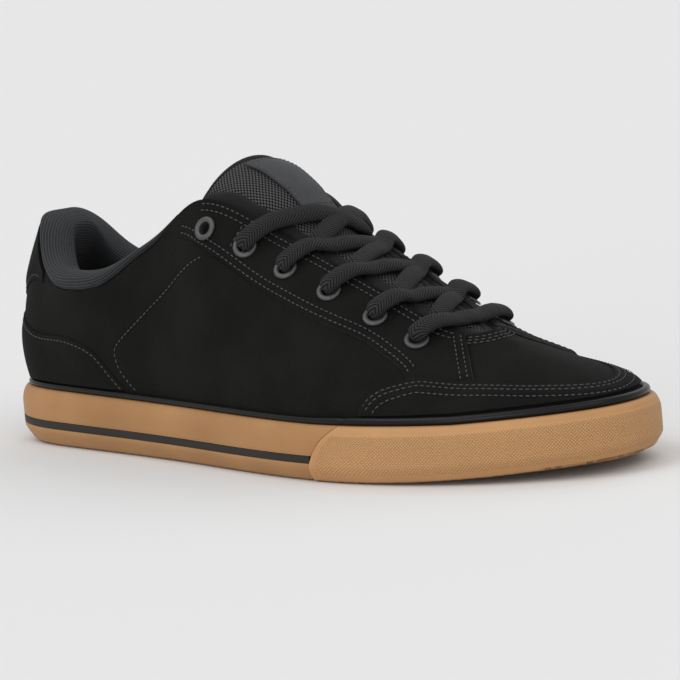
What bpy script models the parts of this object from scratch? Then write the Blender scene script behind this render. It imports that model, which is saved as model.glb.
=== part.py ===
"""Low skateboarding shoe for the right foot, as a faceted assembly.

Frame: metres, +X to the toe, +Y to the inner side of the foot, +Z up, the ground at Z = 0.
The upper is one function of two values: the way round the shoe from the heel (0) along the
outer side to the toe (1) and back along the inner side (2), and the way up a section from the
rim of the sole (0) to the edge of the opening (1). Overlays, collar, tongue, eyelets and laces
all take their places from it.
"""

import math
from collections import namedtuple

import bmesh
import bpy
import numpy as np
from mathutils import Matrix, Vector

for old in list(bpy.data.objects):
    bpy.data.objects.remove(old, do_unlink=True)

# Driving dimensions of the whole shoe
LENGTH = 0.300
BALL_WIDTH = 0.109
HEEL_HEIGHT = 0.084
INSTEP_HEIGHT = 0.098
WALL = 0.0018
OVERLAY = 0.0011
CLEARANCE = 0.0003
SOFT_CLEARANCE = 0.0006

# Sole
SIDEWALL_HEIGHT = 0.0214
FLOOR_HEIGHT = 0.0095
TOE_SPRING = 0.0054
SPRING_START = 0.66
HEEL_LIFT = 0.0016
LIFT_END = 0.12
BOTTOM_INSET = 0.0052
RIM_INSET = 0.0027
RIM_WIDTH = 0.0034
BUMPER_STEP = 0.0008
BUMPER_BACK = 0.655
BUMPER_SLANT = 0.030
BUMPER_BLEND = 0.05
BUMPER_EDGE = 0.003
STRIPE_HEIGHT = 0.0030
STRIPE_DEPTH = 0.0008
STRIPE_LEVEL = 0.0072
RAND_RADIUS = 0.00135
INSOLE_THICKNESS = 0.0050
INSOLE_ROUND = 0.0012
INSOLE_SHOULDER = 0.7

# Collar, tongue and label
COLLAR_PAD = 0.0090
COLLAR_RISE = 0.0070
TONGUE_PAD = 0.0085
TONGUE_WING = 0.0022
LABEL_THICKNESS = 0.0010

# Eyelets and lace
EYELET_HOLE = 0.0024
EYELET_FLANGE = 0.0046
EYELET_THICKNESS = 0.0009
EYELET_SETBACK = 0.0113
LACE_WIDTH = 0.0076
LACE_THICKNESS = 0.0036
LACE_CLEARANCE = 0.0006
EDGE_SEAT = 0.93
LACE_SLANT = 0.012
BAR_SLANT = 0.022
LACE_REACHES = (0.9, 0.35, 0.35, 0.35)
LACE_SHARES = (-0.72, -0.42, -0.12, 0.18, 0.5)

# Faceting: quads round the shoe and up each band of a section
COLUMNS = 72
BAND_ROWS = (3, 3, 3)
ARCH_STEPS = 10
LABEL_ARCH = (3, 7)
LABEL_STATIONS = (1, 4)
EYELET_SIDES = 8
LACE_SIDES = 6
LACE_STEPS = 8

OutlineRow = namedtuple("OutlineRow", "name along across")
EdgeRow = namedtuple("EdgeRow", "way along across instep heel inner_drop")
ShapeRow = namedtuple("ShapeRow", "way low_lean low_reach high_lean high_reach")
LineRow = namedtuple("LineRow", "way low high")
PadRow = namedtuple("PadRow", "way rise pad")
WallRow = namedtuple("WallRow", "name share inset")
RollRow = namedtuple("RollRow", "name up inside pad")
CrestRow = namedtuple("CrestRow", "way along height pad")

# Outline of the sole seen from above: shares of LENGTH from the heel and of BALL_WIDTH from the middle
OUTLINE = (
    OutlineRow("heel back", 0.0, 0.01),
    OutlineRow("heel outer corner", 0.035, -0.289),
    OutlineRow("heel outer", 0.15, -0.379),
    OutlineRow("waist outer", 0.38, -0.428),
    OutlineRow("ball outer", 0.64, -0.50),
    OutlineRow("toe outer", 0.83, -0.398),
    OutlineRow("toe outer corner", 0.955, -0.176),
    OutlineRow("toe tip", 1.0, 0.038),
    OutlineRow("toe inner corner", 0.97, 0.28),
    OutlineRow("toe inner", 0.87, 0.43),
    OutlineRow("ball inner", 0.73, 0.50),
    OutlineRow("waist inner", 0.42, 0.33),
    OutlineRow("heel inner", 0.15, 0.37),
    OutlineRow("heel inner corner", 0.035, 0.265),
)

# Rim of the sole above the ground: share of LENGTH from the heel, share of SIDEWALL_HEIGHT
RIM_LINE = ((0.0, 1.042), (0.35, 0.99), (0.65, 0.972), (0.85, 1.014), (1.0, 1.14))

# Foot of the wall: share of its height and inset as a share of BOTTOM_INSET
WALL_FOOT = (
    WallRow("underside", 0.0, 1.0),
    WallRow("round edge", 0.12, 0.38),
    WallRow("wall foot", 0.22, 0.12),
)

# Top of the wall: share of its height and inset as a share of RIM_INSET
WALL_TOP = (WallRow("below the rim", 0.92, 0.45), WallRow("rim", 1.0, 1.0))

# Edge of the opening: heel tab, collar, facing and throat. Heights are shares of INSTEP_HEIGHT and of
# HEEL_HEIGHT, and the collar dips further on the inner side by a share of HEEL_HEIGHT
EDGE = (
    EdgeRow(0.0, 0.045, 0.0, 0.0, 1.0, 0.0),
    EdgeRow(0.045, 0.052, 0.122, 0.0, 1.0, 0.078),
    EdgeRow(0.085, 0.070, 0.200, 0.0, 0.950, 0.165),
    EdgeRow(0.125, 0.097, 0.268, 0.0, 0.835, 0.15),
    EdgeRow(0.165, 0.133, 0.322, 0.0, 0.752, 0.13),
    EdgeRow(0.220, 0.183, 0.352, 0.0, 0.730, 0.09),
    EdgeRow(0.270, 0.243, 0.350, 0.0, 0.762, 0.06),
    EdgeRow(0.315, 0.290, 0.318, 0.372, 0.430, 0.04),
    EdgeRow(0.355, 0.333, 0.288, 0.826, 0.0, 0.042),
    EdgeRow(0.395, 0.375, 0.262, 0.936, 0.0, 0.05),
    EdgeRow(0.425, 0.410, 0.246, 0.984, 0.0, 0.054),
    EdgeRow(0.450, 0.445, 0.231, 0.970, 0.0, 0.054),
    EdgeRow(0.500, 0.505, 0.186, 0.868, 0.0, 0.042),
    EdgeRow(0.560, 0.572, 0.163, 0.778, 0.0, 0.034),
    EdgeRow(0.620, 0.636, 0.145, 0.690, 0.0, 0.028),
    EdgeRow(0.680, 0.696, 0.128, 0.606, 0.0, 0.02),
    EdgeRow(0.735, 0.744, 0.112, 0.532, 0.0, 0.012),
    EdgeRow(0.790, 0.770, 0.094, 0.498, 0.0, 0.006),
    EdgeRow(0.860, 0.791, 0.066, 0.494, 0.0, 0.0),
    EdgeRow(0.930, 0.802, 0.033, 0.497, 0.0, 0.0),
    EdgeRow(1.0, 0.805, 0.0, 0.500, 0.0, 0.0),
)

# Fullness of each section: leans in degrees, reaches as shares of the section's chord
SHAPE = (
    ShapeRow(0.0, 14.0, 0.36, 24.0, 0.50),
    ShapeRow(0.10, 14.0, 0.36, 22.0, 0.48),
    ShapeRow(0.20, 12.0, 0.36, 8.0, 0.32),
    ShapeRow(0.30, 8.0, 0.36, 12.0, 0.32),
    ShapeRow(0.40, 6.0, 0.38, 22.0, 0.34),
    ShapeRow(0.50, 5.0, 0.38, 46.0, 0.36),
    ShapeRow(0.62, 6.0, 0.31, 57.0, 0.42),
    ShapeRow(0.73, 7.0, 0.25, 59.0, 0.41),
    ShapeRow(0.82, 8.0, 0.18, 61.0, 0.33),
    ShapeRow(0.91, 8.0, 0.18, 53.0, 0.29),
    ShapeRow(1.0, 8.0, 0.18, 54.0, 0.31),
)

# Two lines along which overlays end, as shares of a section's height
LINES = (
    LineRow(0.0, 0.46, 0.56),
    LineRow(0.06, 0.46, 0.58),
    LineRow(0.12, 0.47, 0.80),
    LineRow(0.20, 0.55, 0.84),
    LineRow(0.25, 0.52, 0.82),
    LineRow(0.285, 0.40, 0.80),
    LineRow(0.33, 0.30, 0.78),
    LineRow(0.38, 0.28, 0.80),
    LineRow(0.44, 0.28, 0.77),
    LineRow(0.50, 0.28, 0.74),
    LineRow(0.60, 0.30, 0.70),
    LineRow(0.66, 0.34, 0.69),
    LineRow(0.72, 0.44, 0.66),
    LineRow(0.76, 0.51, 0.70),
    LineRow(0.84, 0.46, 0.76),
    LineRow(0.92, 0.37, 0.72),
    LineRow(1.0, 0.30, 0.68),
)

# Collar padding: how far it rolls over the edge and how thick it is, as shares of the sizes above
PAD = (
    PadRow(0.0, 0.36, 1.05),
    PadRow(0.06, 0.44, 1.20),
    PadRow(0.125, 0.90, 1.30),
    PadRow(0.22, 1.0, 1.15),
    PadRow(0.28, 0.80, 0.90),
    PadRow(0.32, 0.52, 0.70),
    PadRow(0.36, 0.32, 0.45),
    PadRow(0.40, 0.22, 0.30),
)

# Roll of the collar over the edge: shares of its rise, of the way through the wall and of its padding
ROLL = (
    RollRow("lip", 0.0, 0.0, 0.0),
    RollRow("outer swell", 0.55, 0.0, -0.12),
    RollRow("shoulder", 0.95, 0.0, 0.16),
    RollRow("top", 1.0, 0.0, 0.55),
    RollRow("inner shoulder", 0.72, 0.5, 0.90),
    RollRow("inner face", 0.0, 1.0, 1.0),
)

# Inside of the collar below the roll: rows down from the edge and share of the padding there
ROLL_INSIDE = ((1, 0.95), (2, 0.62), (3, 0.22), (3, 0.0), (2, 0.0), (1, 0.0), (0, 0.0))

# Middle line of the tongue: the facing station beside it, share of LENGTH, of INSTEP_HEIGHT, of TONGUE_PAD
CREST = (
    CrestRow(0.417, 0.420, 1.106, 1.0),
    CrestRow(0.444, 0.456, 1.072, 1.0),
    CrestRow(0.472, 0.490, 1.012, 0.95),
    CrestRow(0.490, 0.509, 0.963, 0.85),
    CrestRow(0.528, 0.547, 0.846, 0.62),
    CrestRow(0.556, 0.576, 0.778, 0.56),
    CrestRow(0.611, 0.630, 0.706, 0.48),
    CrestRow(0.667, 0.686, 0.620, 0.43),
    CrestRow(0.722, 0.738, 0.554, 0.38),
    CrestRow(0.750, 0.760, 0.520, 0.30),
    CrestRow(0.778, 0.775, 0.503, 0.28),
)
TONGUE_TOP_ALONG = 0.408
TONGUE_TOP_HEIGHT = 1.117
TONGUE_TOP_ACROSS = 0.212
TONGUE_TOP_DROP = 0.16
TONGUE_TOP_BACK = -0.013
TONGUE_TOP_PAD = 0.55
TONGUE_ARCH = 68.0
WING_SHARE = 0.90
WING_CLEARANCE = 0.0011
ROOT_REACH = 0.17
ROOT_RISES = (0.98, 0.86)

# Where overlays start and end on the way round one side
COUNTER_END = 0.306
TAB_END = 0.139
EYESTAY_BACK = 0.361
LEG_BACK = 0.748
LEG_FRONT = 0.833
GUARD_BACK = 0.694
COLLAR_END = 0.361
EYELET_WAYS = (0.438, 0.484, 0.539, 0.600, 0.666, 0.728)


def periodic_spline(knots, values, period):
    """Return a function that gives the closed cubic spline through values at knots."""
    knots = np.asarray(knots, float)
    values = np.asarray(values, float)
    count = len(knots)
    steps = np.diff(np.append(knots, knots[0] + period))
    slopes = (np.roll(values, -1, axis=0) - values) / steps[:, None]
    matrix = np.zeros((count, count))
    for i in range(count):
        matrix[i, i - 1] += steps[i - 1]
        matrix[i, i] += 2.0 * (steps[i - 1] + steps[i])
        matrix[i, (i + 1) % count] += steps[i]
    bends = np.linalg.solve(matrix, 6.0 * (slopes - np.roll(slopes, 1, axis=0)))

    def value(way):
        way = (way - knots[0]) % period + knots[0]
        i = int(np.searchsorted(knots, way, side="right")) - 1
        j = (i + 1) % count
        right = way - knots[i]
        left = steps[i] - right
        curve = (bends[i] * left ** 3 + bends[j] * right ** 3) / (6.0 * steps[i])
        line_left = (values[i] / steps[i] - bends[i] * steps[i] / 6.0) * left
        line_right = (values[j] / steps[i] - bends[j] * steps[i] / 6.0) * right
        return curve + line_left + line_right

    return value


def mirrored_spline(rows, odd=()):
    """Spline round the whole shoe through one side's rows; odd columns change sign on the inner side."""
    ways = [row[0] for row in rows]
    values = [list(row[1:]) for row in rows]
    for row in rows[::-1]:
        if 0.0 < row[0] < 1.0:
            ways.append(2.0 - row[0])
            values.append([-cell if i in odd else cell for i, cell in enumerate(row[1:])])
    return periodic_spline(ways, values, 2.0)


def half_table(rows, way):
    """Read a one-sided table at a way round either side, in straight lines between rows."""
    way = way % 2.0
    way = 2.0 - way if way > 1.0 else way
    ways = [row[0] for row in rows]
    return [float(np.interp(way, ways, [row[i] for row in rows])) for i in range(1, len(rows[0]))]


def smooth(low, high, value):
    """Rise smoothly from 0 at low to 1 at high."""
    share = min(1.0, max(0.0, (value - low) / (high - low)))
    return share * share * (3.0 - 2.0 * share)


def make_outline():
    """Sample the outline and return a function of the way round that gives point and outward normal."""
    rows = np.array([((r.along - 0.5) * LENGTH, r.across * BALL_WIDTH) for r in OUTLINE])
    chords = np.sqrt(np.linalg.norm(np.roll(rows, -1, axis=0) - rows, axis=1))
    knots = np.concatenate([[0.0], np.cumsum(chords)[:-1]])
    period = float(chords.sum())
    spline = periodic_spline(knots, rows, period)
    dense = np.array([spline(period * i / 1440) for i in range(1440)])
    dense = np.roll(dense, -int(np.argmin(dense[:, 0])), axis=0)
    dense = np.vstack([dense, dense[:1]])
    toe = int(np.argmax(dense[:, 0]))
    arc = np.concatenate([[0.0], np.cumsum(np.linalg.norm(np.diff(dense, axis=0), axis=1))])
    ways = np.where(arc <= arc[toe], arc / arc[toe], 1.0 + (arc - arc[toe]) / (arc[-1] - arc[toe]))
    shift = 0.002

    def point(way):
        way = way % 2.0
        x, y = (float(np.interp(way, ways, dense[:, axis])) for axis in (0, 1))
        return Vector((x, y, 0.0))

    def outline(way):
        ahead = point(way + shift) - point(way - shift)
        return point(way), Vector((ahead.y, -ahead.x, 0.0)).normalized()

    return outline


outline = make_outline()
edge_spline = mirrored_spline(EDGE, odd=(1,))
shape_spline = mirrored_spline(SHAPE)
rim_shares = [row[0] for row in RIM_LINE]
rim_heights = [row[1] for row in RIM_LINE]


def along_share(x):
    """Share of the length from the heel at x."""
    return x / LENGTH + 0.5


def rim_height(x):
    """Height of the wall's rim above the ground at x."""
    return SIDEWALL_HEIGHT * float(np.interp(along_share(x), rim_shares, rim_heights))


def ground_height(x):
    """Height of the underside: flat, with toe spring and a small lift at the heel."""
    share = along_share(x)
    toe = max(0.0, share - SPRING_START) / (1.0 - SPRING_START)
    heel = max(0.0, LIFT_END - share) / LIFT_END
    return TOE_SPRING * toe ** 2 + HEEL_LIFT * heel ** 2


SHELL_INSET = RIM_INSET + RIM_WIDTH + CLEARANCE


def sole_ring(way, inset, height):
    """Point of the sole's ring at an inset from the outline."""
    point, normal = outline(way)
    place = point - normal * inset
    place.z = height
    return place


def floor_height(x):
    """Height of the cup's floor, which follows the underside."""
    return ground_height(x) + FLOOR_HEIGHT


def section(way):
    """Four control points of the upper's section at a way round."""
    point, normal = outline(way)
    foot = point - normal * SHELL_INSET
    foot.z = rim_height(point.x)
    along, across, instep, heel, drop = edge_spline(way)
    height = instep * INSTEP_HEIGHT + heel * HEEL_HEIGHT
    if way % 2.0 > 1.0:
        height -= drop * HEEL_HEIGHT
    top = Vector(((along - 0.5) * LENGTH, -across * BALL_WIDTH, height))
    low_lean, low_reach, high_lean, high_reach = shape_spline(way)
    chord = (top - foot).length
    low = Vector((0.0, 0.0, math.cos(math.radians(low_lean)))) + normal * math.sin(math.radians(low_lean))
    aside = Vector((foot.x - top.x, foot.y - top.y, 0.0)) + normal * SHELL_INSET
    aside.normalize()
    high = aside * math.sin(math.radians(high_lean)) - Vector((0.0, 0.0, math.cos(math.radians(high_lean))))
    return foot, foot + low * chord * low_reach, top + high * chord * high_reach, top


def section_point(controls, rise):
    """Point of a section at a share of its curve."""
    fall = 1.0 - rise
    weights = (fall ** 3, 3.0 * fall ** 2 * rise, 3.0 * fall * rise ** 2, rise ** 3)
    return sum((c * w for c, w in zip(controls, weights)), Vector())


def shell_point(way, rise, offset=0.0):
    """Point of the upper's outer face, moved out along its normal by offset."""
    place = section_point(section(way), rise)
    return place + shell_normal(way, rise) * offset if offset else place


def shell_normal(way, rise):
    """Outward normal of the upper's outer face."""
    step = 0.004
    low = max(0.0, rise - step)
    high = min(1.0, rise + step)
    round_way = section_point(section(way + step), rise) - section_point(section(way - step), rise)
    controls = section(way)
    upward = section_point(controls, high) - section_point(controls, low)
    return round_way.cross(upward).normalized()


def rise_at_height(way, share):
    """Share of the section's curve at which it reaches a share of its height."""
    controls = section(way)
    target = controls[0].z + share * (controls[3].z - controls[0].z)
    low, high = 0.0, 1.0
    for _ in range(24):
        middle = (low + high) / 2.0
        if section_point(controls, middle).z < target:
            low = middle
        else:
            high = middle
    return high


def band_rises(way):
    """Shares of the section's curve for each row of the grid, from the rim to the edge."""
    controls = section(way)
    rand_share = (2.0 * RAND_RADIUS + 2.0 * CLEARANCE) / (controls[3].z - controls[0].z)
    low, high = half_table(LINES, way)
    stops = [rise_at_height(way, rand_share), rise_at_height(way, low), rise_at_height(way, high), 1.0]
    rises = [0.0, stops[0]]
    for start, stop, rows in zip(stops, stops[1:], BAND_ROWS):
        rises += [start + (stop - start) * (k + 1) / rows for k in range(rows)]
    return rises


FLOOR_ROW = 0
RIM_ROW = 1
OVERLAY_ROW = 2
LOW_ROW = OVERLAY_ROW + BAND_ROWS[0]
HIGH_ROW = LOW_ROW + BAND_ROWS[1]
EDGE_ROW = HIGH_ROW + BAND_ROWS[2]
COLUMN_WAYS = [2.0 * i / COLUMNS for i in range(COLUMNS)]
COLUMN_RISES = [band_rises(way) for way in COLUMN_WAYS]


def column_at(way):
    """Nearest column of the grid to a way round."""
    return int(round(way * COLUMNS / 2.0))


def grid_point(column, row, offset=0.0):
    """Vertex of the upper's grid, moved out along the face's normal by offset."""
    column = column % COLUMNS
    way = COLUMN_WAYS[column]
    if row == FLOOR_ROW:
        point, _ = outline(way)
        return sole_ring(way, SHELL_INSET - offset, floor_height(point.x) + CLEARANCE)
    return shell_point(way, COLUMN_RISES[column][row - 1], offset)


def cell_triangles(column, row):
    """Two triangles of a grid cell, split the way that the overlays' slanted ends run there."""
    side = COLUMN_WAYS[column % COLUMNS]
    outer_side = side < 1.0
    side = side if outer_side else 2.0 - side
    falls = 0.2 < side < 0.6 or (row >= LOW_ROW and 0.2 < side < 0.8)
    low, low_next = (column, row), (column + 1, row)
    high, high_next = (column, row + 1), (column + 1, row + 1)
    if falls == outer_side:
        return (low, low_next, high), (low_next, high_next, high)
    return (low, low_next, high_next), (low, high_next, high)


def material(name, colour, roughness, metallic=0.0):
    """Make a plain Principled material."""
    made = bpy.data.materials.new(name)
    made.use_nodes = True
    shader = made.node_tree.nodes["Principled BSDF"]
    shader.inputs["Base Color"].default_value = (*colour, 1.0)
    shader.inputs["Roughness"].default_value = roughness
    shader.inputs["Metallic"].default_value = metallic
    return made


shoe = bpy.data.collections.new("skate_shoe")
cutters = bpy.data.collections.new("cutters")
bpy.context.scene.collection.children.link(shoe)
bpy.context.scene.collection.children.link(cutters)

GUM = material("gum_rubber", (0.36, 0.20, 0.09), 0.6)
STRIPE = material("stripe_rubber", (0.04, 0.035, 0.03), 0.6)
PIPING = material("rand_rubber", (0.01, 0.01, 0.01), 0.3)
FOAM = material("insole_foam", (0.02, 0.02, 0.02), 0.9)
NUBUCK = material("nubuck", (0.012, 0.012, 0.012), 0.9)
TEXTILE = material("collar_textile", (0.03, 0.03, 0.033), 0.9)
MESH = material("tongue_mesh", (0.045, 0.045, 0.045), 0.9)
LABEL = material("label_satin", (0.15, 0.155, 0.165), 0.6)
GUNMETAL = material("eyelet_metal", (0.08, 0.08, 0.085), 0.4, 1.0)
CORD = material("lace_cord", (0.06, 0.06, 0.065), 0.9)


def add_object(name, mesh, finish, home=shoe):
    """Put a mesh in a collection as a named object."""
    made = bpy.data.objects.new(name, mesh)
    mesh.materials.clear()
    mesh.materials.append(finish)
    home.objects.link(made)
    return made


def mesh_from(name, points, faces):
    """Mesh of points and faces, with doubles joined and faces turned outwards."""
    shape = bmesh.new()
    verts = [shape.verts.new(p) for p in points]
    for face in faces:
        corners = [verts[i] for i in face]
        if len(set(corners)) >= 3 and not shape.faces.get(corners):
            shape.faces.new(corners)
    bmesh.ops.remove_doubles(shape, verts=shape.verts, dist=1e-6)
    bmesh.ops.dissolve_degenerate(shape, edges=shape.edges, dist=1e-6)
    bmesh.ops.recalc_face_normals(shape, faces=shape.faces)
    mesh = bpy.data.meshes.new(name)
    shape.to_mesh(mesh)
    shape.free()
    return mesh


def loft(name, rings, finish, core=None):
    """Closed solid through rings of equally many points, with caps fanned from the middle of the core."""
    count = len(rings[0])
    points = [p for ring in rings for p in ring]
    faces = []
    for r in range(len(rings) - 1):
        here, there = r * count, (r + 1) * count
        for i in range(count):
            j = (i + 1) % count
            faces.append((here + i, here + j, there + j))
            faces.append((here + i, there + j, there + i))
    for start in (0, (len(rings) - 1) * count):
        inner = core or range(count)
        points.append(sum((points[start + i] for i in inner), Vector()) / len(inner))
        faces += [(start + i, start + (i + 1) % count, len(points) - 1) for i in range(count)]
    return add_object(name, mesh_from(name, points, faces), finish)


def strip_loft(name, rings, finish):
    """Closed solid through rings round the shoe, whose first and last ring are bridged side to side."""
    points = [p for ring in rings for p in ring]
    count = len(rings[0])
    faces = []
    for r in range(len(rings) - 1):
        for i in range(count):
            j = (i + 1) % count
            faces.append((r * count + i, r * count + j, (r + 1) * count + j))
            faces.append((r * count + i, (r + 1) * count + j, (r + 1) * count + i))
    half = count // 2
    for start in (0, (len(rings) - 1) * count):
        for i in range(half):
            a, b = start + i, start + i + 1
            c, d = start + (count - i - 1) % count, start + (count - i) % count
            faces.append((a, b, c))
            faces.append((a, c, d))
    return add_object(name, mesh_from(name, points, faces), finish)


def patch(name, columns, low_rows, high_rows, offset, thickness, finish):
    """Overlay over some cells of the upper's grid, offset from its face and made thick outwards."""
    numbers = {}
    points = []
    for column, low, high in zip(columns, low_rows, high_rows):
        for row in range(low, high + 1):
            numbers[column, row] = len(points)
            points.append(grid_point(column, row, offset))
    faces = []
    for column in columns[:-1]:
        for row in range(FLOOR_ROW, EDGE_ROW):
            for triple in cell_triangles(column, row):
                if all(key in numbers for key in triple):
                    faces.append(tuple(numbers[key] for key in triple))
    made = add_object(name, bpy.data.meshes.new(name), finish)
    made.data.from_pydata(points, [], faces)
    thicken(made, thickness, 1.0)
    return made


def thicken(target, thickness, side):
    """Give an open surface its thickness on one side."""
    solid = target.modifiers.new("thickness", "SOLIDIFY")
    solid.thickness = thickness
    solid.offset = side
    solid.use_even_offset = True


def slanted_way(way, height):
    """Way round the sole at a height, leaning along the back edge of the toe bumper."""
    side = way if way <= 1.0 else 2.0 - way
    near = math.exp(-((side - BUMPER_BACK) / BUMPER_BLEND) ** 2)
    lean = BUMPER_SLANT * (height / SIDEWALL_HEIGHT - 0.5) * near
    return way + lean if way <= 1.0 else way - lean


def make_cupsole():
    """Rubber cup: underside, wall with stripe groove and toe bumper, rim, inner wall and floor."""
    ways = list(COLUMN_WAYS)
    extra = [BUMPER_BACK - BUMPER_EDGE, BUMPER_BACK + BUMPER_EDGE]
    ways += extra + [2.0 - way for way in extra]
    ways.sort()
    stripe_low = STRIPE_LEVEL / SIDEWALL_HEIGHT
    stripe_high = stripe_low + STRIPE_HEIGHT / SIDEWALL_HEIGHT
    levels = [(row.share, row.inset * BOTTOM_INSET, 0) for row in WALL_FOOT]
    levels += [(stripe_low, 0.0, 0), (stripe_low, 0.0, 1), (stripe_high, 0.0, 1), (stripe_high, 0.0, 0)]
    levels += [(row.share, row.inset * RIM_INSET, 0) for row in WALL_TOP]
    rings = []
    for share, inset, groove in levels:
        ring = []
        for way in ways:
            leaning = slanted_way(way, share * SIDEWALL_HEIGHT)
            point, _ = outline(leaning)
            side = way if way <= 1.0 else 2.0 - way
            bumper = BUMPER_STEP if side > BUMPER_BACK and 0.0 < share < 1.0 else 0.0
            depth = STRIPE_DEPTH + CLEARANCE if groove and side < BUMPER_BACK else 0.0
            bottom = ground_height(point.x)
            height = bottom + share * (rim_height(point.x) - bottom)
            ring.append(sole_ring(leaning, inset + BUMPER_STEP - bumper + depth, height))
        rings.append(ring)
    inner = RIM_INSET + RIM_WIDTH
    rings.append([sole_ring(way, inner, rim_height(outline(way)[0].x)) for way in ways])
    rings.append([sole_ring(way, inner, floor_height(outline(way)[0].x)) for way in ways])
    return strip_loft("cupsole", rings, GUM)


def make_stripe():
    """Dark band in the groove of the wall, from bumper to bumper round the heel."""
    reach = column_at(BUMPER_BACK - BUMPER_SLANT)
    rings = []
    for column in range(-reach, reach + 1):
        way = 2.0 * column / COLUMNS
        ring = []
        for level, inset in ((0.0, 0.0), (1.0, 0.0), (1.0, 1.0), (0.0, 1.0)):
            x = outline(way)[0].x
            bottom = ground_height(x)
            wall = rim_height(x) - bottom
            low = bottom + STRIPE_LEVEL / SIDEWALL_HEIGHT * wall + CLEARANCE
            high = bottom + (STRIPE_LEVEL + STRIPE_HEIGHT) / SIDEWALL_HEIGHT * wall - CLEARANCE
            depth = BUMPER_STEP + inset * (STRIPE_DEPTH - CLEARANCE)
            ring.append(sole_ring(way, depth, low + level * (high - low)))
        rings.append(ring)
    return loft("sidewall_stripe", rings, STRIPE)


def make_rand():
    """Piping that sits on the rim, close round the upper."""
    spline_points = []
    for column in range(COLUMNS):
        foot = grid_point(column, RIM_ROW)
        above = grid_point(column, OVERLAY_ROW)
        _, normal = outline(COLUMN_WAYS[column])
        upward = (above - foot).normalized()
        outward = (normal - upward * normal.dot(upward)).normalized()
        centre = foot + outward * (RAND_RADIUS + CLEARANCE)
        centre.z = foot.z + RAND_RADIUS + CLEARANCE
        lean = (centre - foot).dot(outward)
        centre += outward * max(0.0, RAND_RADIUS + CLEARANCE - lean)
        spline_points.append(centre)
    curve = bpy.data.curves.new("rand", "CURVE")
    curve.dimensions = "3D"
    curve.bevel_depth = RAND_RADIUS
    curve.bevel_resolution = 1
    line = curve.splines.new("POLY")
    line.points.add(len(spline_points) - 1)
    for place, point in zip(spline_points, line.points):
        point.co = (*place, 1.0)
    line.use_cyclic_u = True
    made = bpy.data.objects.new("rand", curve)
    curve.materials.append(PIPING)
    shoe.objects.link(made)
    return made


def make_insole():
    """Footbed on the floor of the cup, inside the upper."""
    inset = SHELL_INSET + WALL + CLEARANCE
    rings = []
    shoulder = INSOLE_THICKNESS * INSOLE_SHOULDER
    for rise, extra in ((CLEARANCE, 0.0), (shoulder, 0.0), (INSOLE_THICKNESS, INSOLE_ROUND)):
        heights = [floor_height(outline(way)[0].x) + rise for way in COLUMN_WAYS]
        rings.append([sole_ring(way, inset + extra, height) for way, height in zip(COLUMN_WAYS, heights)])
    return strip_loft("insole", rings, FOAM)


def make_upper():
    """Hollow shell over the whole grid, thickened inwards."""
    points = [grid_point(c, r) for r in range(EDGE_ROW + 1) for c in range(COLUMNS)]
    faces = []
    for row in range(EDGE_ROW):
        for column in range(COLUMNS):
            for triple in cell_triangles(column, row):
                faces.append(tuple(r * COLUMNS + c % COLUMNS for c, r in triple))
    made = add_object("upper", bpy.data.meshes.new("upper"), NUBUCK)
    made.data.from_pydata(points, [], faces)
    thicken(made, WALL, -1.0)
    return made


def make_overlays():
    """Toe guard, heel counter, heel tab and both eyestays, cut from the upper's own face."""
    first, last = column_at(GUARD_BACK), column_at(2.0 - GUARD_BACK)
    columns = list(range(first, last + 1))
    highs = [min(LOW_ROW, OVERLAY_ROW + 1 + 2 * min(c - first, last - c)) for c in columns]
    lows = [OVERLAY_ROW] * len(columns)
    patch("toe_guard", columns, lows, highs, CLEARANCE, OVERLAY, NUBUCK)
    reach = column_at(COUNTER_END)
    columns = list(range(-reach, reach + 1))
    highs = [min(LOW_ROW, OVERLAY_ROW + reach - abs(c)) for c in columns]
    patch("heel_counter", columns, [OVERLAY_ROW] * len(columns), highs, CLEARANCE, OVERLAY, NUBUCK)
    reach = column_at(TAB_END)
    columns = list(range(-reach, reach + 1))
    lows = [max(HIGH_ROW, EDGE_ROW - (reach - abs(c))) for c in columns]
    patch("heel_tab", columns, lows, [EDGE_ROW] * len(columns), CLEARANCE, OVERLAY, NUBUCK)
    back, leg, front = column_at(EYESTAY_BACK), column_at(LEG_BACK), column_at(LEG_FRONT)
    steps = []
    for column in range(back, front + 1):
        down = max(HIGH_ROW, EDGE_ROW - (column - back))
        steps.append(max(LOW_ROW, min(down, LOW_ROW + leg - column)))
    outer = list(range(back, front + 1))
    inner = [COLUMNS - c for c in outer][::-1]
    patch("eyestay_lateral", outer, steps, [EDGE_ROW] * len(outer), CLEARANCE, OVERLAY, NUBUCK)
    patch("eyestay_medial", inner, steps[::-1], [EDGE_ROW] * len(inner), CLEARANCE, OVERLAY, NUBUCK)


def upward_at_edge(way):
    """Direction in which a section runs out of its edge."""
    controls = section(way)
    return (controls[3] - controls[2]).normalized()


def make_collar_lining():
    """Padded textile roll over the collar's edge and down inside it."""
    reach = column_at(COLLAR_END)
    inside = -(WALL + SOFT_CLEARANCE)
    rings = []
    for column in range(-reach, reach + 1):
        way = COLUMN_WAYS[column % COLUMNS]
        rise, pad = half_table(PAD, way)
        rise *= COLLAR_RISE
        pad *= COLLAR_PAD
        up = upward_at_edge(way)
        out = shell_normal(way, 1.0)
        top = grid_point(column, EDGE_ROW)
        lip = top + up * 2.0 * SOFT_CLEARANCE
        ring = [lip + up * rise * r.up + out * (inside * r.inside - pad * r.pad) for r in ROLL]
        ring += [grid_point(column, EDGE_ROW - down, inside - pad * share) for down, share in ROLL_INSIDE]
        rings.append(ring + [lip + out * inside])
    over_wall = (len(ROLL) - 3, len(ROLL) - 2, len(rings[0]) - 1)
    return loft("collar_lining", rings, TEXTILE, over_wall)


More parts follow.
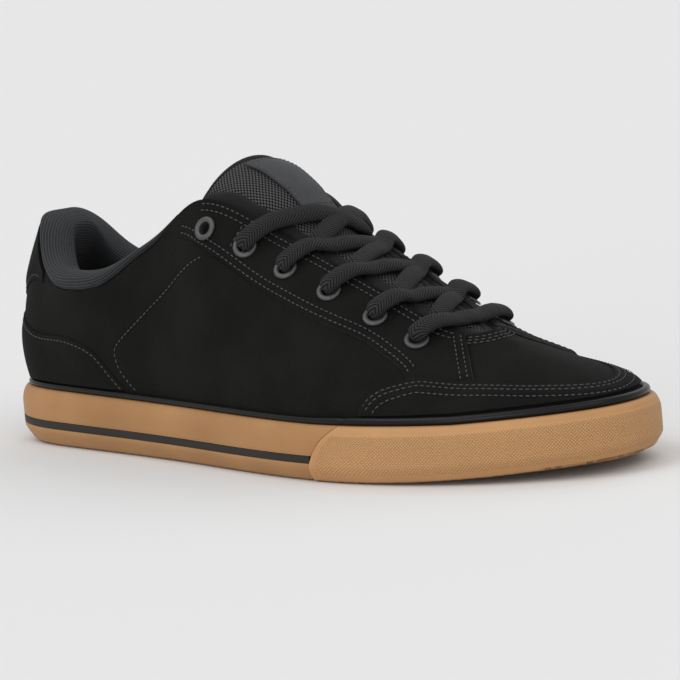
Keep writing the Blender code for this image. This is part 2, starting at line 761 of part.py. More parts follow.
def arch_point(outer_edge, inner_edge, crest, share):
    """Point of the arch from one edge (share -1) over the crest to the other (share 1)."""
    widest = math.radians(TONGUE_ARCH)
    turn = widest * share
    aside = math.sin(turn) / math.sin(widest)
    drop = (1.0 - math.cos(turn)) / (1.0 - math.cos(widest))
    middle = (outer_edge + inner_edge) / 2.0
    return crest + (inner_edge - outer_edge) / 2.0 * aside + (middle - crest) * drop


def tongue_station(way):
    """Both edges and the crest of the tongue's arch beside a way round."""
    along, height, pad = half_table(CREST, way)
    edges = [shell_point(side_way, 1.0, -(WALL + SOFT_CLEARANCE)) for side_way in (way, 2.0 - way)]
    return edges[0], edges[1], Vector(((along - 0.5) * LENGTH, 0.0, height * INSTEP_HEIGHT)), pad


def tongue_lines():
    """Outer lines of the tongue's sections from its top down, each with its padding."""
    top = Vector(((TONGUE_TOP_ALONG - 0.5) * LENGTH, 0.0, TONGUE_TOP_HEIGHT * INSTEP_HEIGHT))
    drop = TONGUE_TOP_DROP * INSTEP_HEIGHT
    side = Vector((TONGUE_TOP_BACK * LENGTH, TONGUE_TOP_ACROSS * BALL_WIDTH, -drop))
    outer, inner = top + Vector((side.x, -side.y, side.z)), top + side
    fall = Vector((0.0, 0.0, -drop / 2.0))
    shares = [2.0 * i / ARCH_STEPS - 1.0 for i in range(ARCH_STEPS + 1)]
    arch = [arch_point(outer, inner, top, share) for share in shares]
    lines = [([outer + fall, *arch, inner + fall], TONGUE_TOP_PAD * TONGUE_PAD)]
    for row in CREST:
        outer, inner, crest, pad = tongue_station(row.way)
        wings = []
        for way in (row.way, 2.0 - row.way):
            wings.append(shell_point(way, rise_at_height(way, WING_SHARE), -(WALL + WING_CLEARANCE)))
        arch = [arch_point(outer, inner, crest, share) for share in shares]
        lines.append(([wings[0], *arch, wings[1]], pad * TONGUE_PAD))
    for rise in ROOT_RISES:
        root = [shell_point(1.0 + share * ROOT_REACH, rise, -(WALL + WING_CLEARANCE)) for share in shares]
        spread = (root[-1] - root[0]).normalized() * TONGUE_WING
        lines.append(([root[0] - spread, *root, root[-1] + spread], TONGUE_WING))
    return lines


def line_normals(lines):
    """Outward normals at the points of a run of neighbouring lines."""
    grid = [line for line, _ in lines]
    normals = []
    for r, line in enumerate(grid):
        above, below = grid[max(0, r - 1)], grid[min(len(grid) - 1, r + 1)]
        row = []
        for i in range(len(line)):
            across = line[min(len(line) - 1, i + 1)] - line[max(0, i - 1)]
            row.append((below[i] - above[i]).cross(across).normalized())
        normals.append(row)
    return normals


def make_tongue():
    """Padded tongue that arches between the facings and stands above them."""
    lines = tongue_lines()
    rings = []
    for (line, pad), normals in zip(lines, line_normals(lines)):
        last = len(line) - 1
        below = []
        for i, (place, normal) in enumerate(zip(line, normals)):
            share = math.sin(math.pi * i / last) ** 0.8
            below.append(place - normal * (TONGUE_WING + max(0.0, pad - TONGUE_WING) * share))
        rings.append(line + below[::-1])
    return loft("tongue", rings, MESH)


def make_label():
    """Bare woven label on the tongue, on the arch's own facets."""
    lines = tongue_lines()
    normals = line_normals(lines)
    first, last = LABEL_ARCH
    points = []
    for r in range(LABEL_STATIONS[0], LABEL_STATIONS[1] + 1):
        for i in range(first + 1, last + 2):
            points.append(lines[r][0][i] + normals[r][i] * SOFT_CLEARANCE)
    wide = last - first + 1
    faces = []
    for r in range(LABEL_STATIONS[1] - LABEL_STATIONS[0]):
        for i in range(wide - 1):
            a = r * wide + i
            faces.append((a + 1, a, a + wide))
            faces.append((a + 1, a + wide, a + wide + 1))
    made = add_object("tongue_label", bpy.data.meshes.new("tongue_label"), LABEL)
    made.data.from_pydata(points, [], faces)
    thicken(made, LABEL_THICKNESS, 1.0)
    return made


def surface_frame(way, rise, offset):
    """Matrix on the upper's outer face, with Z along its outward normal."""
    place = shell_point(way, rise, offset)
    normal = shell_normal(way, rise)
    return Matrix.Translation(place) @ normal.to_track_quat("Z", "Y").to_matrix().to_4x4()


def setback_rise(way, distance):
    """Share of the section's curve at a distance from its upper edge."""
    controls = section(way)
    last = section_point(controls, 1.0)
    length = 0.0
    rise = 1.0
    while length < distance:
        rise -= 0.01
        place = section_point(controls, rise)
        length += (place - last).length
        last = place
    return rise


def eyelet_places():
    """Matrices of the eyelets, outer side first, from the top down."""
    places = []
    for side in (0, 1):
        for way in EYELET_WAYS:
            way = way if side == 0 else 2.0 - way
            rise = setback_rise(way, EYELET_SETBACK)
            places.append(surface_frame(way, rise, 2.0 * CLEARANCE + OVERLAY))
    return places


def make_eyelets():
    """Flat rings turned about their own axes."""
    names = [f"eyelet_{side}_{n}" for side in ("lateral", "medial") for n in range(1, len(EYELET_WAYS) + 1)]
    for name, place in zip(names, eyelet_places()):
        half = EYELET_THICKNESS / 2.0
        profile = [
            (EYELET_HOLE + half, EYELET_THICKNESS), (EYELET_FLANGE - half, EYELET_THICKNESS),
            (EYELET_FLANGE, half), (EYELET_FLANGE, 0.0), (EYELET_HOLE, 0.0), (EYELET_HOLE, half),
        ]
        mesh = bpy.data.meshes.new(name)
        count = len(profile)
        mesh.from_pydata([(x, 0.0, z) for x, z in profile], [(i, (i + 1) % count) for i in range(count)], [])
        made = add_object(name, mesh, GUNMETAL)
        made.matrix_world = place
        turned = made.modifiers.new("turned", "SCREW")
        turned.steps = EYELET_SIDES
        turned.render_steps = EYELET_SIDES
        turned.use_merge_vertices = True
        turned.merge_threshold = 0.00001


def lace_seat(way, rise, spare):
    """Middle of the lace where it lies on an eyestay with room to spare, and the normal there."""
    stack = OVERLAY + 2.0 * CLEARANCE + LACE_THICKNESS / 2.0 + spare
    return shell_point(way, rise, stack), shell_normal(way, rise)


def lace_over_tongue(way, share):
    """Middle of the lace where it lies on the tongue, and the normal there."""
    outer, inner, crest, _ = tongue_station(way)
    place = arch_point(outer, inner, crest, share)
    ahead = arch_point(outer, inner, crest, share + 0.05) - arch_point(outer, inner, crest, share - 0.05)
    lower = tongue_station(way + 0.02)[2] - tongue_station(way - 0.02)[2]
    normal = lower.cross(ahead).normalized()
    return place + normal * (LACE_THICKNESS / 2.0 + LACE_CLEARANCE), normal


def lace_end(way, slant, around):
    """Stops from the facing's edge back to an eyelet, for ways of one side."""
    over_flange = EYELET_THICKNESS + CLEARANCE
    edge = lace_seat(around(way + slant), 1.0, LACE_CLEARANCE)
    seat = lace_seat(around(way + slant / 2.0), EDGE_SEAT, over_flange)
    hole = lace_seat(around(way), setback_rise(around(way), EYELET_SETBACK), over_flange)
    return [edge, seat, hole]


def outer_side(way):
    """Way on the outer side."""
    return way


def inner_side(way):
    """Way on the inner side."""
    return 2.0 - way


def lace_run(start_way, end_way, side):
    """Stops of one run, from inside the throat on one side over the tongue to the other side's eyelet."""
    stops = []
    for share in LACE_SHARES:
        way = start_way + (end_way + LACE_SLANT - start_way) * (share + 1.0) / 2.0
        stops.append(lace_over_tongue(way, share * side))
    return stops + lace_end(end_way, LACE_SLANT, outer_side if side < 0.0 else inner_side)


def lace_bottom_bar():
    """Stops of the bottom bar, from eyelet to eyelet."""
    way = EYELET_WAYS[-1]
    middle = [lace_over_tongue(way + BAR_SLANT, share) for share in (-0.3, 0.0, 0.3)]
    return lace_end(way, BAR_SLANT, outer_side)[::-1] + middle + lace_end(way, BAR_SLANT, inner_side)


def smooth_stops(stops):
    """Even steps along a smooth curve through the lace's stops."""
    places = np.array([tuple(place) + tuple(normal) for place, normal in stops])
    gaps = np.linalg.norm(np.diff(places[:, :3], axis=0), axis=1)
    knots = np.concatenate([[0.0], np.cumsum(gaps)])
    tangents = np.gradient(places, knots, axis=0)
    result = []
    for i in range(LACE_STEPS + 1):
        at = knots[-1] * i / LACE_STEPS
        k = min(len(knots) - 2, int(np.searchsorted(knots, at, side="right")) - 1)
        step = knots[k + 1] - knots[k]
        s = (at - knots[k]) / step
        value = (2 * s ** 3 - 3 * s ** 2 + 1) * places[k] + (s ** 3 - 2 * s ** 2 + s) * step * tangents[k]
        value = value + (3 * s ** 2 - 2 * s ** 3) * places[k + 1] + (s ** 3 - s ** 2) * step * tangents[k + 1]
        result.append((Vector(value[:3]), Vector(value[3:]).normalized()))
    return result


def sweep_lace(name, stops, home):
    """Oval lace swept through its stops, flat to the face beneath."""
    line = smooth_stops(stops)
    rings = []
    for i, (place, normal) in enumerate(line):
        tangent = (line[min(len(line) - 1, i + 1)][0] - line[max(0, i - 1)][0]).normalized()
        side = tangent.cross(normal).normalized()
        rise = side.cross(tangent).normalized()
        ring = []
        for k in range(LACE_SIDES):
            turn = 2.0 * math.pi * k / LACE_SIDES
            aside = side * math.cos(turn) * LACE_WIDTH / 2.0
            ring.append(place + aside + rise * math.sin(turn) * LACE_THICKNESS / 2.0)
        rings.append(ring)
    made = loft(name, rings, CORD)
    if home is not shoe:
        shoe.objects.unlink(made)
        home.objects.link(made)
    return made


def make_laces():
    """Every run of the lace over the tongue, joined to the bottom bar where they meet."""
    lacing = sweep_lace("lacing", lace_bottom_bar(), shoe)
    for number in range(len(EYELET_WAYS) - 2, 0, -1):
        way, below = EYELET_WAYS[number], EYELET_WAYS[number + 1]
        back = way + (below - way) * LACE_REACHES[number - 1]
        for side, start in ((1.0, below + LACE_SLANT), (-1.0, back)):
            name = f"run_{number + 1}_{'inner' if side > 0.0 else 'outer'}"
            run = sweep_lace(name, lace_run(start, way, side), cutters)
            run.hide_render = True
            run.display_type = "WIRE"
            joined = lacing.modifiers.new("joined", "BOOLEAN")
            joined.operation = "UNION"
            joined.solver = "EXACT"
            joined.object = run


def make_all():
    """Build every piece."""
    make_cupsole()
    make_stripe()
    make_rand()
    make_insole()
    make_upper()
    make_overlays()
    make_collar_lining()
    make_tongue()
    make_label()
    make_eyelets()
    make_laces()


make_all()
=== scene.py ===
"""Looks of a low skateboarding shoe for the right foot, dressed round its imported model.

Frame: metres, +X to the toe, +Y to the inner side of the foot, +Z up, the ground at Z = 0.
The upper's face is one function of two values. A way runs round the shoe, from the heel (0) along
the outer side to the toe (1) and back along the inner side (2). A level runs up a section: the cup's
floor (-1), the rim of the sole (0), the low line of the overlays (1), their high line (2) and the
edge of the opening (3). Panels, seams, eyelets, collar, tongue and laces take their places from it.
"""

from __future__ import annotations

import logging
import math
from dataclasses import dataclass, field
from enum import Enum
from typing import NamedTuple, Sequence

import bmesh
import bpy
import numpy as np
from mathutils import Matrix, Vector
from mathutils.kdtree import KDTree


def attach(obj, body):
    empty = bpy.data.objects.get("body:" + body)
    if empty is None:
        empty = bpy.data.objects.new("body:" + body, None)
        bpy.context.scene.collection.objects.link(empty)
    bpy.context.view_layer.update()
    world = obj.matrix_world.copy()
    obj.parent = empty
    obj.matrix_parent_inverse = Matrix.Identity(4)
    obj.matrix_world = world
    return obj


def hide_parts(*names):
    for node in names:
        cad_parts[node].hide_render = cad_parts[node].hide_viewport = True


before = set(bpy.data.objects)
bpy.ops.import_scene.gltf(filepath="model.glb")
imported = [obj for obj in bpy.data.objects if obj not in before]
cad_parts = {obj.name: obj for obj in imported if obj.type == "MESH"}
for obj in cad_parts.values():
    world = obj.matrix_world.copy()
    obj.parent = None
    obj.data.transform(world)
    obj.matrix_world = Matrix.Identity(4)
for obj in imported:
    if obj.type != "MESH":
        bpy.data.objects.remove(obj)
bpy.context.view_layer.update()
log = logging.getLogger("skate_shoe")
MM = 0.001


class OutlineRow(NamedTuple):
    """A point of the sole's outline, in shares of the length and of the ball width."""

    along: float
    across: float


class EdgeRow(NamedTuple):
    """A point of the opening's edge, in shares of the shoe's sizes."""

    way: float
    along: float
    across: float
    instep: float
    heel: float
    inner_drop: float


class ShapeRow(NamedTuple):
    """Fullness of a section: leans in degrees and reaches in shares of its chord."""

    way: float
    low_lean: float
    low_reach: float
    high_lean: float
    high_reach: float


class LineRow(NamedTuple):
    """Two lines along which overlays end, in shares of a section's height."""

    way: float
    low: float
    high: float


class PadRow(NamedTuple):
    """How far the collar rolls over the edge and how thick it is, in shares."""

    way: float
    rise: float
    pad: float


class CrestRow(NamedTuple):
    """A station of the tongue's middle line beside a way round."""

    way: float
    along: float
    height: float
    pad: float


class RollRow(NamedTuple):
    """A point of the collar's roll: shares of its rise, of the wall and of its padding."""

    up: float
    inside: float
    pad: float


class SeamPoint(NamedTuple):
    """A point of a seam on the upper's face."""

    way: float
    level: float


def rows_of(kind: type, *rows: Sequence[float]) -> tuple:
    """Table of rows with named columns."""
    return tuple(kind(*row) for row in rows)


@dataclass(frozen=True)
class ShoeSizes:
    """Driving sizes of the shoe, in metres and degrees, the same as in its model."""

    length: float = 0.300
    ball_width: float = 0.109
    heel_height: float = 0.084
    instep_height: float = 0.098
    wall: float = 0.0018
    overlay: float = 0.0011
    clearance: float = 0.0003
    soft_clearance: float = 0.0006
    sidewall_height: float = 0.0214
    floor_height: float = 0.0095
    toe_spring: float = 0.0054
    spring_start: float = 0.66
    heel_lift: float = 0.0016
    lift_end: float = 0.12
    bottom_inset: float = 0.0052
    rim_inset: float = 0.0027
    rim_width: float = 0.0034
    bumper_step: float = 0.0008
    bumper_back: float = 0.655
    bumper_slant: float = 0.0414
    bumper_blend: float = 0.05
    stripe_height: float = 0.0030
    stripe_depth: float = 0.0008
    stripe_level: float = 0.0072
    rand_radius: float = 0.00135
    insole_thickness: float = 0.0050
    collar_pad: float = 0.0090
    collar_rise: float = 0.0070
    tongue_pad: float = 0.0085
    tongue_wing: float = 0.0022
    tongue_arch: float = 68.0
    eyelet_hole: float = 0.0024
    eyelet_flange: float = 0.0046
    eyelet_thickness: float = 0.0009
    eyelet_setback: float = 0.0113
    lace_width: float = 0.0076
    lace_thickness: float = 0.0036
    lace_clearance: float = 0.0006

    @property
    def shell_inset(self) -> float:
        """Inset of the upper's face from the sole's outline."""
        return self.rim_inset + self.rim_width + self.clearance


SIZES = ShoeSizes()

OUTLINE = rows_of(
    OutlineRow,
    (0.0, 0.01), (0.035, -0.289), (0.15, -0.379), (0.38, -0.428), (0.64, -0.50), (0.83, -0.398),
    (0.955, -0.176), (1.0, 0.038), (0.97, 0.28), (0.87, 0.43), (0.73, 0.50), (0.42, 0.33), (0.15, 0.37),
    (0.035, 0.265),
)

RIM_LINE = ((0.0, 1.042), (0.35, 0.99), (0.65, 0.972), (0.85, 1.014), (1.0, 1.14))

EDGE = rows_of(
    EdgeRow,
    (0.0, 0.045, 0.0, 0.0, 1.0, 0.0), (0.045, 0.052, 0.122, 0.0, 1.0, 0.078),
    (0.085, 0.070, 0.200, 0.0, 0.950, 0.165), (0.125, 0.097, 0.268, 0.0, 0.835, 0.15),
    (0.165, 0.133, 0.322, 0.0, 0.752, 0.13), (0.220, 0.183, 0.352, 0.0, 0.730, 0.09),
    (0.270, 0.243, 0.350, 0.0, 0.762, 0.06), (0.315, 0.290, 0.318, 0.372, 0.430, 0.04),
    (0.355, 0.333, 0.288, 0.826, 0.0, 0.042), (0.395, 0.375, 0.262, 0.936, 0.0, 0.05),
    (0.425, 0.410, 0.246, 0.984, 0.0, 0.054), (0.450, 0.445, 0.231, 0.970, 0.0, 0.054),
    (0.500, 0.505, 0.186, 0.868, 0.0, 0.042), (0.560, 0.572, 0.163, 0.778, 0.0, 0.034),
    (0.620, 0.636, 0.145, 0.690, 0.0, 0.028), (0.680, 0.696, 0.128, 0.606, 0.0, 0.02),
    (0.735, 0.744, 0.112, 0.532, 0.0, 0.012), (0.790, 0.770, 0.094, 0.498, 0.0, 0.006),
    (0.860, 0.791, 0.066, 0.494, 0.0, 0.0), (0.930, 0.802, 0.033, 0.497, 0.0, 0.0),
    (1.0, 0.805, 0.0, 0.500, 0.0, 0.0),
)

SHAPE = rows_of(
    ShapeRow,
    (0.0, 14.0, 0.36, 24.0, 0.50), (0.10, 14.0, 0.36, 22.0, 0.48), (0.20, 12.0, 0.36, 8.0, 0.32),
    (0.30, 8.0, 0.36, 12.0, 0.32), (0.40, 6.0, 0.38, 22.0, 0.34), (0.50, 5.0, 0.38, 46.0, 0.36),
    (0.62, 6.0, 0.31, 57.0, 0.42), (0.73, 7.0, 0.25, 59.0, 0.41), (0.82, 8.0, 0.18, 61.0, 0.33),
    (0.91, 8.0, 0.18, 53.0, 0.29), (1.0, 8.0, 0.18, 54.0, 0.31),
)

LINES = rows_of(
    LineRow,
    (0.0, 0.46, 0.56), (0.06, 0.46, 0.58), (0.12, 0.47, 0.80), (0.20, 0.55, 0.84), (0.25, 0.52, 0.82),
    (0.285, 0.40, 0.80), (0.33, 0.30, 0.78), (0.38, 0.28, 0.80), (0.44, 0.28, 0.77), (0.50, 0.28, 0.74),
    (0.60, 0.30, 0.70), (0.66, 0.34, 0.69), (0.72, 0.44, 0.66), (0.76, 0.51, 0.70), (0.84, 0.46, 0.76),
    (0.92, 0.37, 0.72), (1.0, 0.30, 0.68),
)

PAD = rows_of(
    PadRow,
    (0.0, 0.36, 1.05), (0.06, 0.44, 1.20), (0.125, 0.90, 1.30), (0.22, 1.0, 1.15), (0.28, 0.80, 0.90),
    (0.32, 0.52, 0.70), (0.36, 0.32, 0.45), (0.40, 0.10, 0.16),
)

CREST = rows_of(
    CrestRow,
    (0.417, 0.420, 1.106, 1.0), (0.444, 0.456, 1.072, 1.0), (0.472, 0.490, 1.012, 0.95),
    (0.490, 0.509, 0.963, 0.85), (0.528, 0.547, 0.846, 0.62), (0.556, 0.576, 0.778, 0.56),
    (0.611, 0.630, 0.706, 0.48), (0.667, 0.686, 0.620, 0.43), (0.722, 0.738, 0.554, 0.38),
    (0.750, 0.760, 0.520, 0.30), (0.778, 0.775, 0.503, 0.28),
)

ROLL = rows_of(
    RollRow,
    (0.0, 0.0, 0.0), (0.55, 0.0, -0.12), (0.95, 0.0, 0.16), (1.0, 0.0, 0.55), (0.72, 0.5, 0.90),
    (0.0, 1.0, 1.0),
)
ROLL_INSIDE = ((2.68, 0.95), (2.34, 0.62), (2.0, 0.22), (2.0, 0.0), (2.34, 0.0), (2.68, 0.0), (3.0, 0.0))

EYELET_WAYS = (0.438, 0.484, 0.539, 0.600, 0.666, 0.728)
RAND_LEVEL = 0.2
LEVEL_STOPS = (0.0, RAND_LEVEL, 1.0, 2.0, 3.0)

COUNTER_EDGE = rows_of(
    SeamPoint,
    (0.0, 1.0), (0.13, 1.0), (0.19, 1.0), (0.235, 0.92), (0.262, 0.74), (0.280, 0.50),
    (0.300, RAND_LEVEL),
)
QUARTER_SEAM = rows_of(
    SeamPoint,
    (0.466, 2.20), (0.439, 1.95), (0.393, 1.72), (0.350, 1.62), (0.321, 1.46), (0.299, 1.22),
    (0.290, 1.0), (0.294, 0.66), (0.306, 0.40), (0.318, RAND_LEVEL),
)
EYESTAY_EDGE = rows_of(
    SeamPoint,
    (0.361, 2.95), (0.385, 2.55), (0.415, 2.18), (0.450, 2.0), (0.56, 2.0), (0.660, 2.0), (0.702, 1.86),
    (0.722, 1.62), (0.732, 1.35), (0.738, 1.03), (0.755, 1.0), (0.833, 1.0),
)
TAB_EDGE = rows_of(SeamPoint, (0.0, 1.65), (0.056, 1.68), (0.10, 1.98), (0.139, 2.5))
GUARD_EDGE = rows_of(
    SeamPoint,
    (0.690, 0.42), (0.697, 0.66), (0.710, 0.86), (0.728, 0.96), (0.760, 1.0), (0.80, 1.0), (0.87, 1.0),
    (1.0, 1.0),
)


def unit(vectors: np.ndarray) -> np.ndarray:
    """Scale vectors to length one."""
    return vectors / np.maximum(np.linalg.norm(vectors, axis=-1, keepdims=True), 1e-12)


def eased(at: np.ndarray, rows: Sequence[Sequence[float]], column: int = 1, flat: bool = True) -> np.ndarray:
    """Read a table's column with smooth curves that never overshoot its rows.

    Args:
        at: Positions in the table's first column.
        rows: The table.
        column: The column to read.
        flat: Whether the curve starts and ends level.

    Returns:
        The values at the positions.
    """
    xs = np.array([row[0] for row in rows], float)
    ys = np.array([row[column] for row in rows], float)
    at = np.clip(at, xs[0], xs[-1])
    steps = np.diff(xs)
    slopes = np.diff(ys) / steps
    product = slopes[1:] * slopes[:-1]
    total = slopes[1:] + slopes[:-1]
    inner = np.where(product > 0.0, 2.0 * product / np.where(total == 0.0, 1.0, total), 0.0)
    ends = np.zeros(2) if flat else slopes[[0, -1]]
    tangents = np.concatenate([ends[:1], inner, ends[1:]])
    i = np.clip(np.searchsorted(xs, at, side="right") - 1, 0, len(xs) - 2)
    s = (at - xs[i]) / steps[i]
    start = (2 * s ** 3 - 3 * s ** 2 + 1) * ys[i] + (s ** 3 - 2 * s ** 2 + s) * steps[i] * tangents[i]
    return start + (3 * s ** 2 - 2 * s ** 3) * ys[i + 1] + (s ** 3 - s ** 2) * steps[i] * tangents[i + 1]


def one_sided(ways: np.ndarray) -> np.ndarray:
    """Fold ways of both sides onto the outer side."""
    side = np.asarray(ways, float) % 2.0
    return np.where(side > 1.0, 2.0 - side, side)


def smooth_step(low: float, high: float, value: np.ndarray) -> np.ndarray:
    """Rise smoothly from 0 at low to 1 at high."""
    share = np.clip((value - low) / (high - low), 0.0, 1.0)
    return share * share * (3.0 - 2.0 * share)


def catmull(values: np.ndarray, at: np.ndarray, closed: bool = False) -> np.ndarray:
    """Smooth curve through rows of values, read at fractional row numbers.

    Args:
        values: Rows along the first axis.
        at: Row numbers, whole or between rows.
        closed: Whether the last row runs back into the first.

    Returns:
        One value for each row number.
    """
    count = len(values)
    at = np.asarray(at, float)
    base = np.floor(at).astype(int)
    if not closed:
        base = np.clip(base, 0, count - 2)
    s = (at - base).reshape((-1,) + (1,) * (values.ndim - 1))

    def row(k: np.ndarray) -> np.ndarray:
        """Rows by number, carried straight on past the ends.

        Args:
            k: Row numbers.

        Returns:
            The rows.
        """
        if closed:
            return values[k % count]
        inside = values[np.clip(k, 0, count - 1)]
        shape = (-1,) + (1,) * (values.ndim - 1)
        before = (k < 0).reshape(shape) * (values[0] - values[1])
        after = (k > count - 1).reshape(shape) * (values[-1] - values[-2])
        return inside + before + after

    a, b, c, d = row(base - 1), row(base), row(base + 1), row(base + 2)
    curve = 2 * b + (c - a) * s + (2 * a - 5 * b + 4 * c - d) * s ** 2
    return 0.5 * (curve + (3 * b - a - 3 * c + d) * s ** 3)


def polyline_length(points: np.ndarray) -> np.ndarray:
    """Running length along a row of points."""
    return np.concatenate([[0.0], np.cumsum(np.linalg.norm(np.diff(points, axis=0), axis=1))])


class ClosedSpline:
    """Closed cubic spline through rows of values."""

    def __init__(self, knots: Sequence[float], values: Sequence[Sequence[float]], period: float) -> None:
        """Work out the spline's bends.

        Args:
            knots: Position of each row.
            values: The rows.
            period: Length after which the spline repeats.
        """
        self.knots = np.asarray(knots, float)
        self.values = np.asarray(values, float)
        self.period = period
        count = len(self.knots)
        self.steps = np.diff(np.append(self.knots, self.knots[0] + period))
        slopes = (np.roll(self.values, -1, axis=0) - self.values) / self.steps[:, None]
        matrix = np.zeros((count, count))
        for i in range(count):
            matrix[i, i - 1] += self.steps[i - 1]
            matrix[i, i] += 2.0 * (self.steps[i - 1] + self.steps[i])
            matrix[i, (i + 1) % count] += self.steps[i]
        self.bends = np.linalg.solve(matrix, 6.0 * (slopes - np.roll(slopes, 1, axis=0)))

    def __call__(self, at: np.ndarray) -> np.ndarray:
        """Read the spline at positions.

        Args:
            at: Positions, taken back into the period.

        Returns:
            One row of values for each position.
        """
        at = (np.asarray(at, float) - self.knots[0]) % self.period + self.knots[0]
        i = np.searchsorted(self.knots, at, side="right") - 1
        j = (i + 1) % len(self.knots)
        right = (at - self.knots[i])[:, None]
        step = self.steps[i][:, None]
        left = step - right
        curve = (self.bends[i] * left ** 3 + self.bends[j] * right ** 3) / (6.0 * step)
        from_left = (self.values[i] / step - self.bends[i] * step / 6.0) * left
        from_right = (self.values[j] / step - self.bends[j] * step / 6.0) * right
        return curve + from_left + from_right


def mirrored_spline(rows: Sequence[Sequence[float]], odd: Sequence[int] = ()) -> ClosedSpline:
    """Spline round the whole shoe through one side's rows.

    Args:
        rows: Rows of the outer side, each starting with its way.
        odd: Columns that change sign on the inner side.

    Returns:
        The spline of the columns after the first.
    """
    ways = [row[0] for row in rows]
    values = [list(row[1:]) for row in rows]
    for row in reversed(rows):
        if 0.0 < row[0] < 1.0:
            ways.append(2.0 - row[0])
            values.append([-cell if i in odd else cell for i, cell in enumerate(row[1:])])
    return ClosedSpline(ways, values, 2.0)


class Outline:
    """Outline of the sole seen from above, read by the way round."""

    SAMPLES = 1440
    SHIFT = 0.002

    def __init__(self, sizes: ShoeSizes) -> None:
        """Sample the outline's spline and number it from heel to toe and back.

        Args:
            sizes: The shoe's sizes.
        """
        rows = np.array([((r.along - 0.5) * sizes.length, r.across * sizes.ball_width) for r in OUTLINE])
        chords = np.sqrt(np.linalg.norm(np.roll(rows, -1, axis=0) - rows, axis=1))
        knots = np.concatenate([[0.0], np.cumsum(chords)[:-1]])
        period = float(chords.sum())
        dense = ClosedSpline(knots, rows, period)(period * np.arange(self.SAMPLES) / self.SAMPLES)
        dense = np.roll(dense, -int(np.argmin(dense[:, 0])), axis=0)
        self.dense = np.vstack([dense, dense[:1]])
        toe = int(np.argmax(self.dense[:, 0]))
        self.arc = polyline_length(self.dense)
        back = 1.0 + (self.arc - self.arc[toe]) / (self.arc[-1] - self.arc[toe])
        self.ways = np.where(self.arc <= self.arc[toe], self.arc / self.arc[toe], back)

    def points(self, ways: np.ndarray) -> np.ndarray:
        """Points of the outline on the ground.

        Args:
            ways: Ways round.

        Returns:
            Points at height 0.
        """
        ways = np.asarray(ways, float) % 2.0
        x = np.interp(ways, self.ways, self.dense[:, 0])
        y = np.interp(ways, self.ways, self.dense[:, 1])
        return np.stack([x, y, np.zeros_like(x)], -1)

    def normals(self, ways: np.ndarray) -> np.ndarray:
        """Outward normals of the outline.

        Args:
            ways: Ways round.

        Returns:
            Level unit directions.
        """
        ways = np.asarray(ways, float)
        ahead = self.points(ways + self.SHIFT) - self.points(ways - self.SHIFT)
        return unit(np.stack([ahead[:, 1], -ahead[:, 0], np.zeros(len(ahead))], -1))

    def lengths(self, ways: np.ndarray) -> np.ndarray:
        """Length along the outline from the heel, for ways from -1 to 2.

        Args:
            ways: Ways round.

        Returns:
            Lengths in metres.
        """
        ways = np.asarray(ways, float)
        turn = np.floor(ways / 2.0)
        return np.interp(ways - 2.0 * turn, self.ways, self.arc) + turn * self.arc[-1]


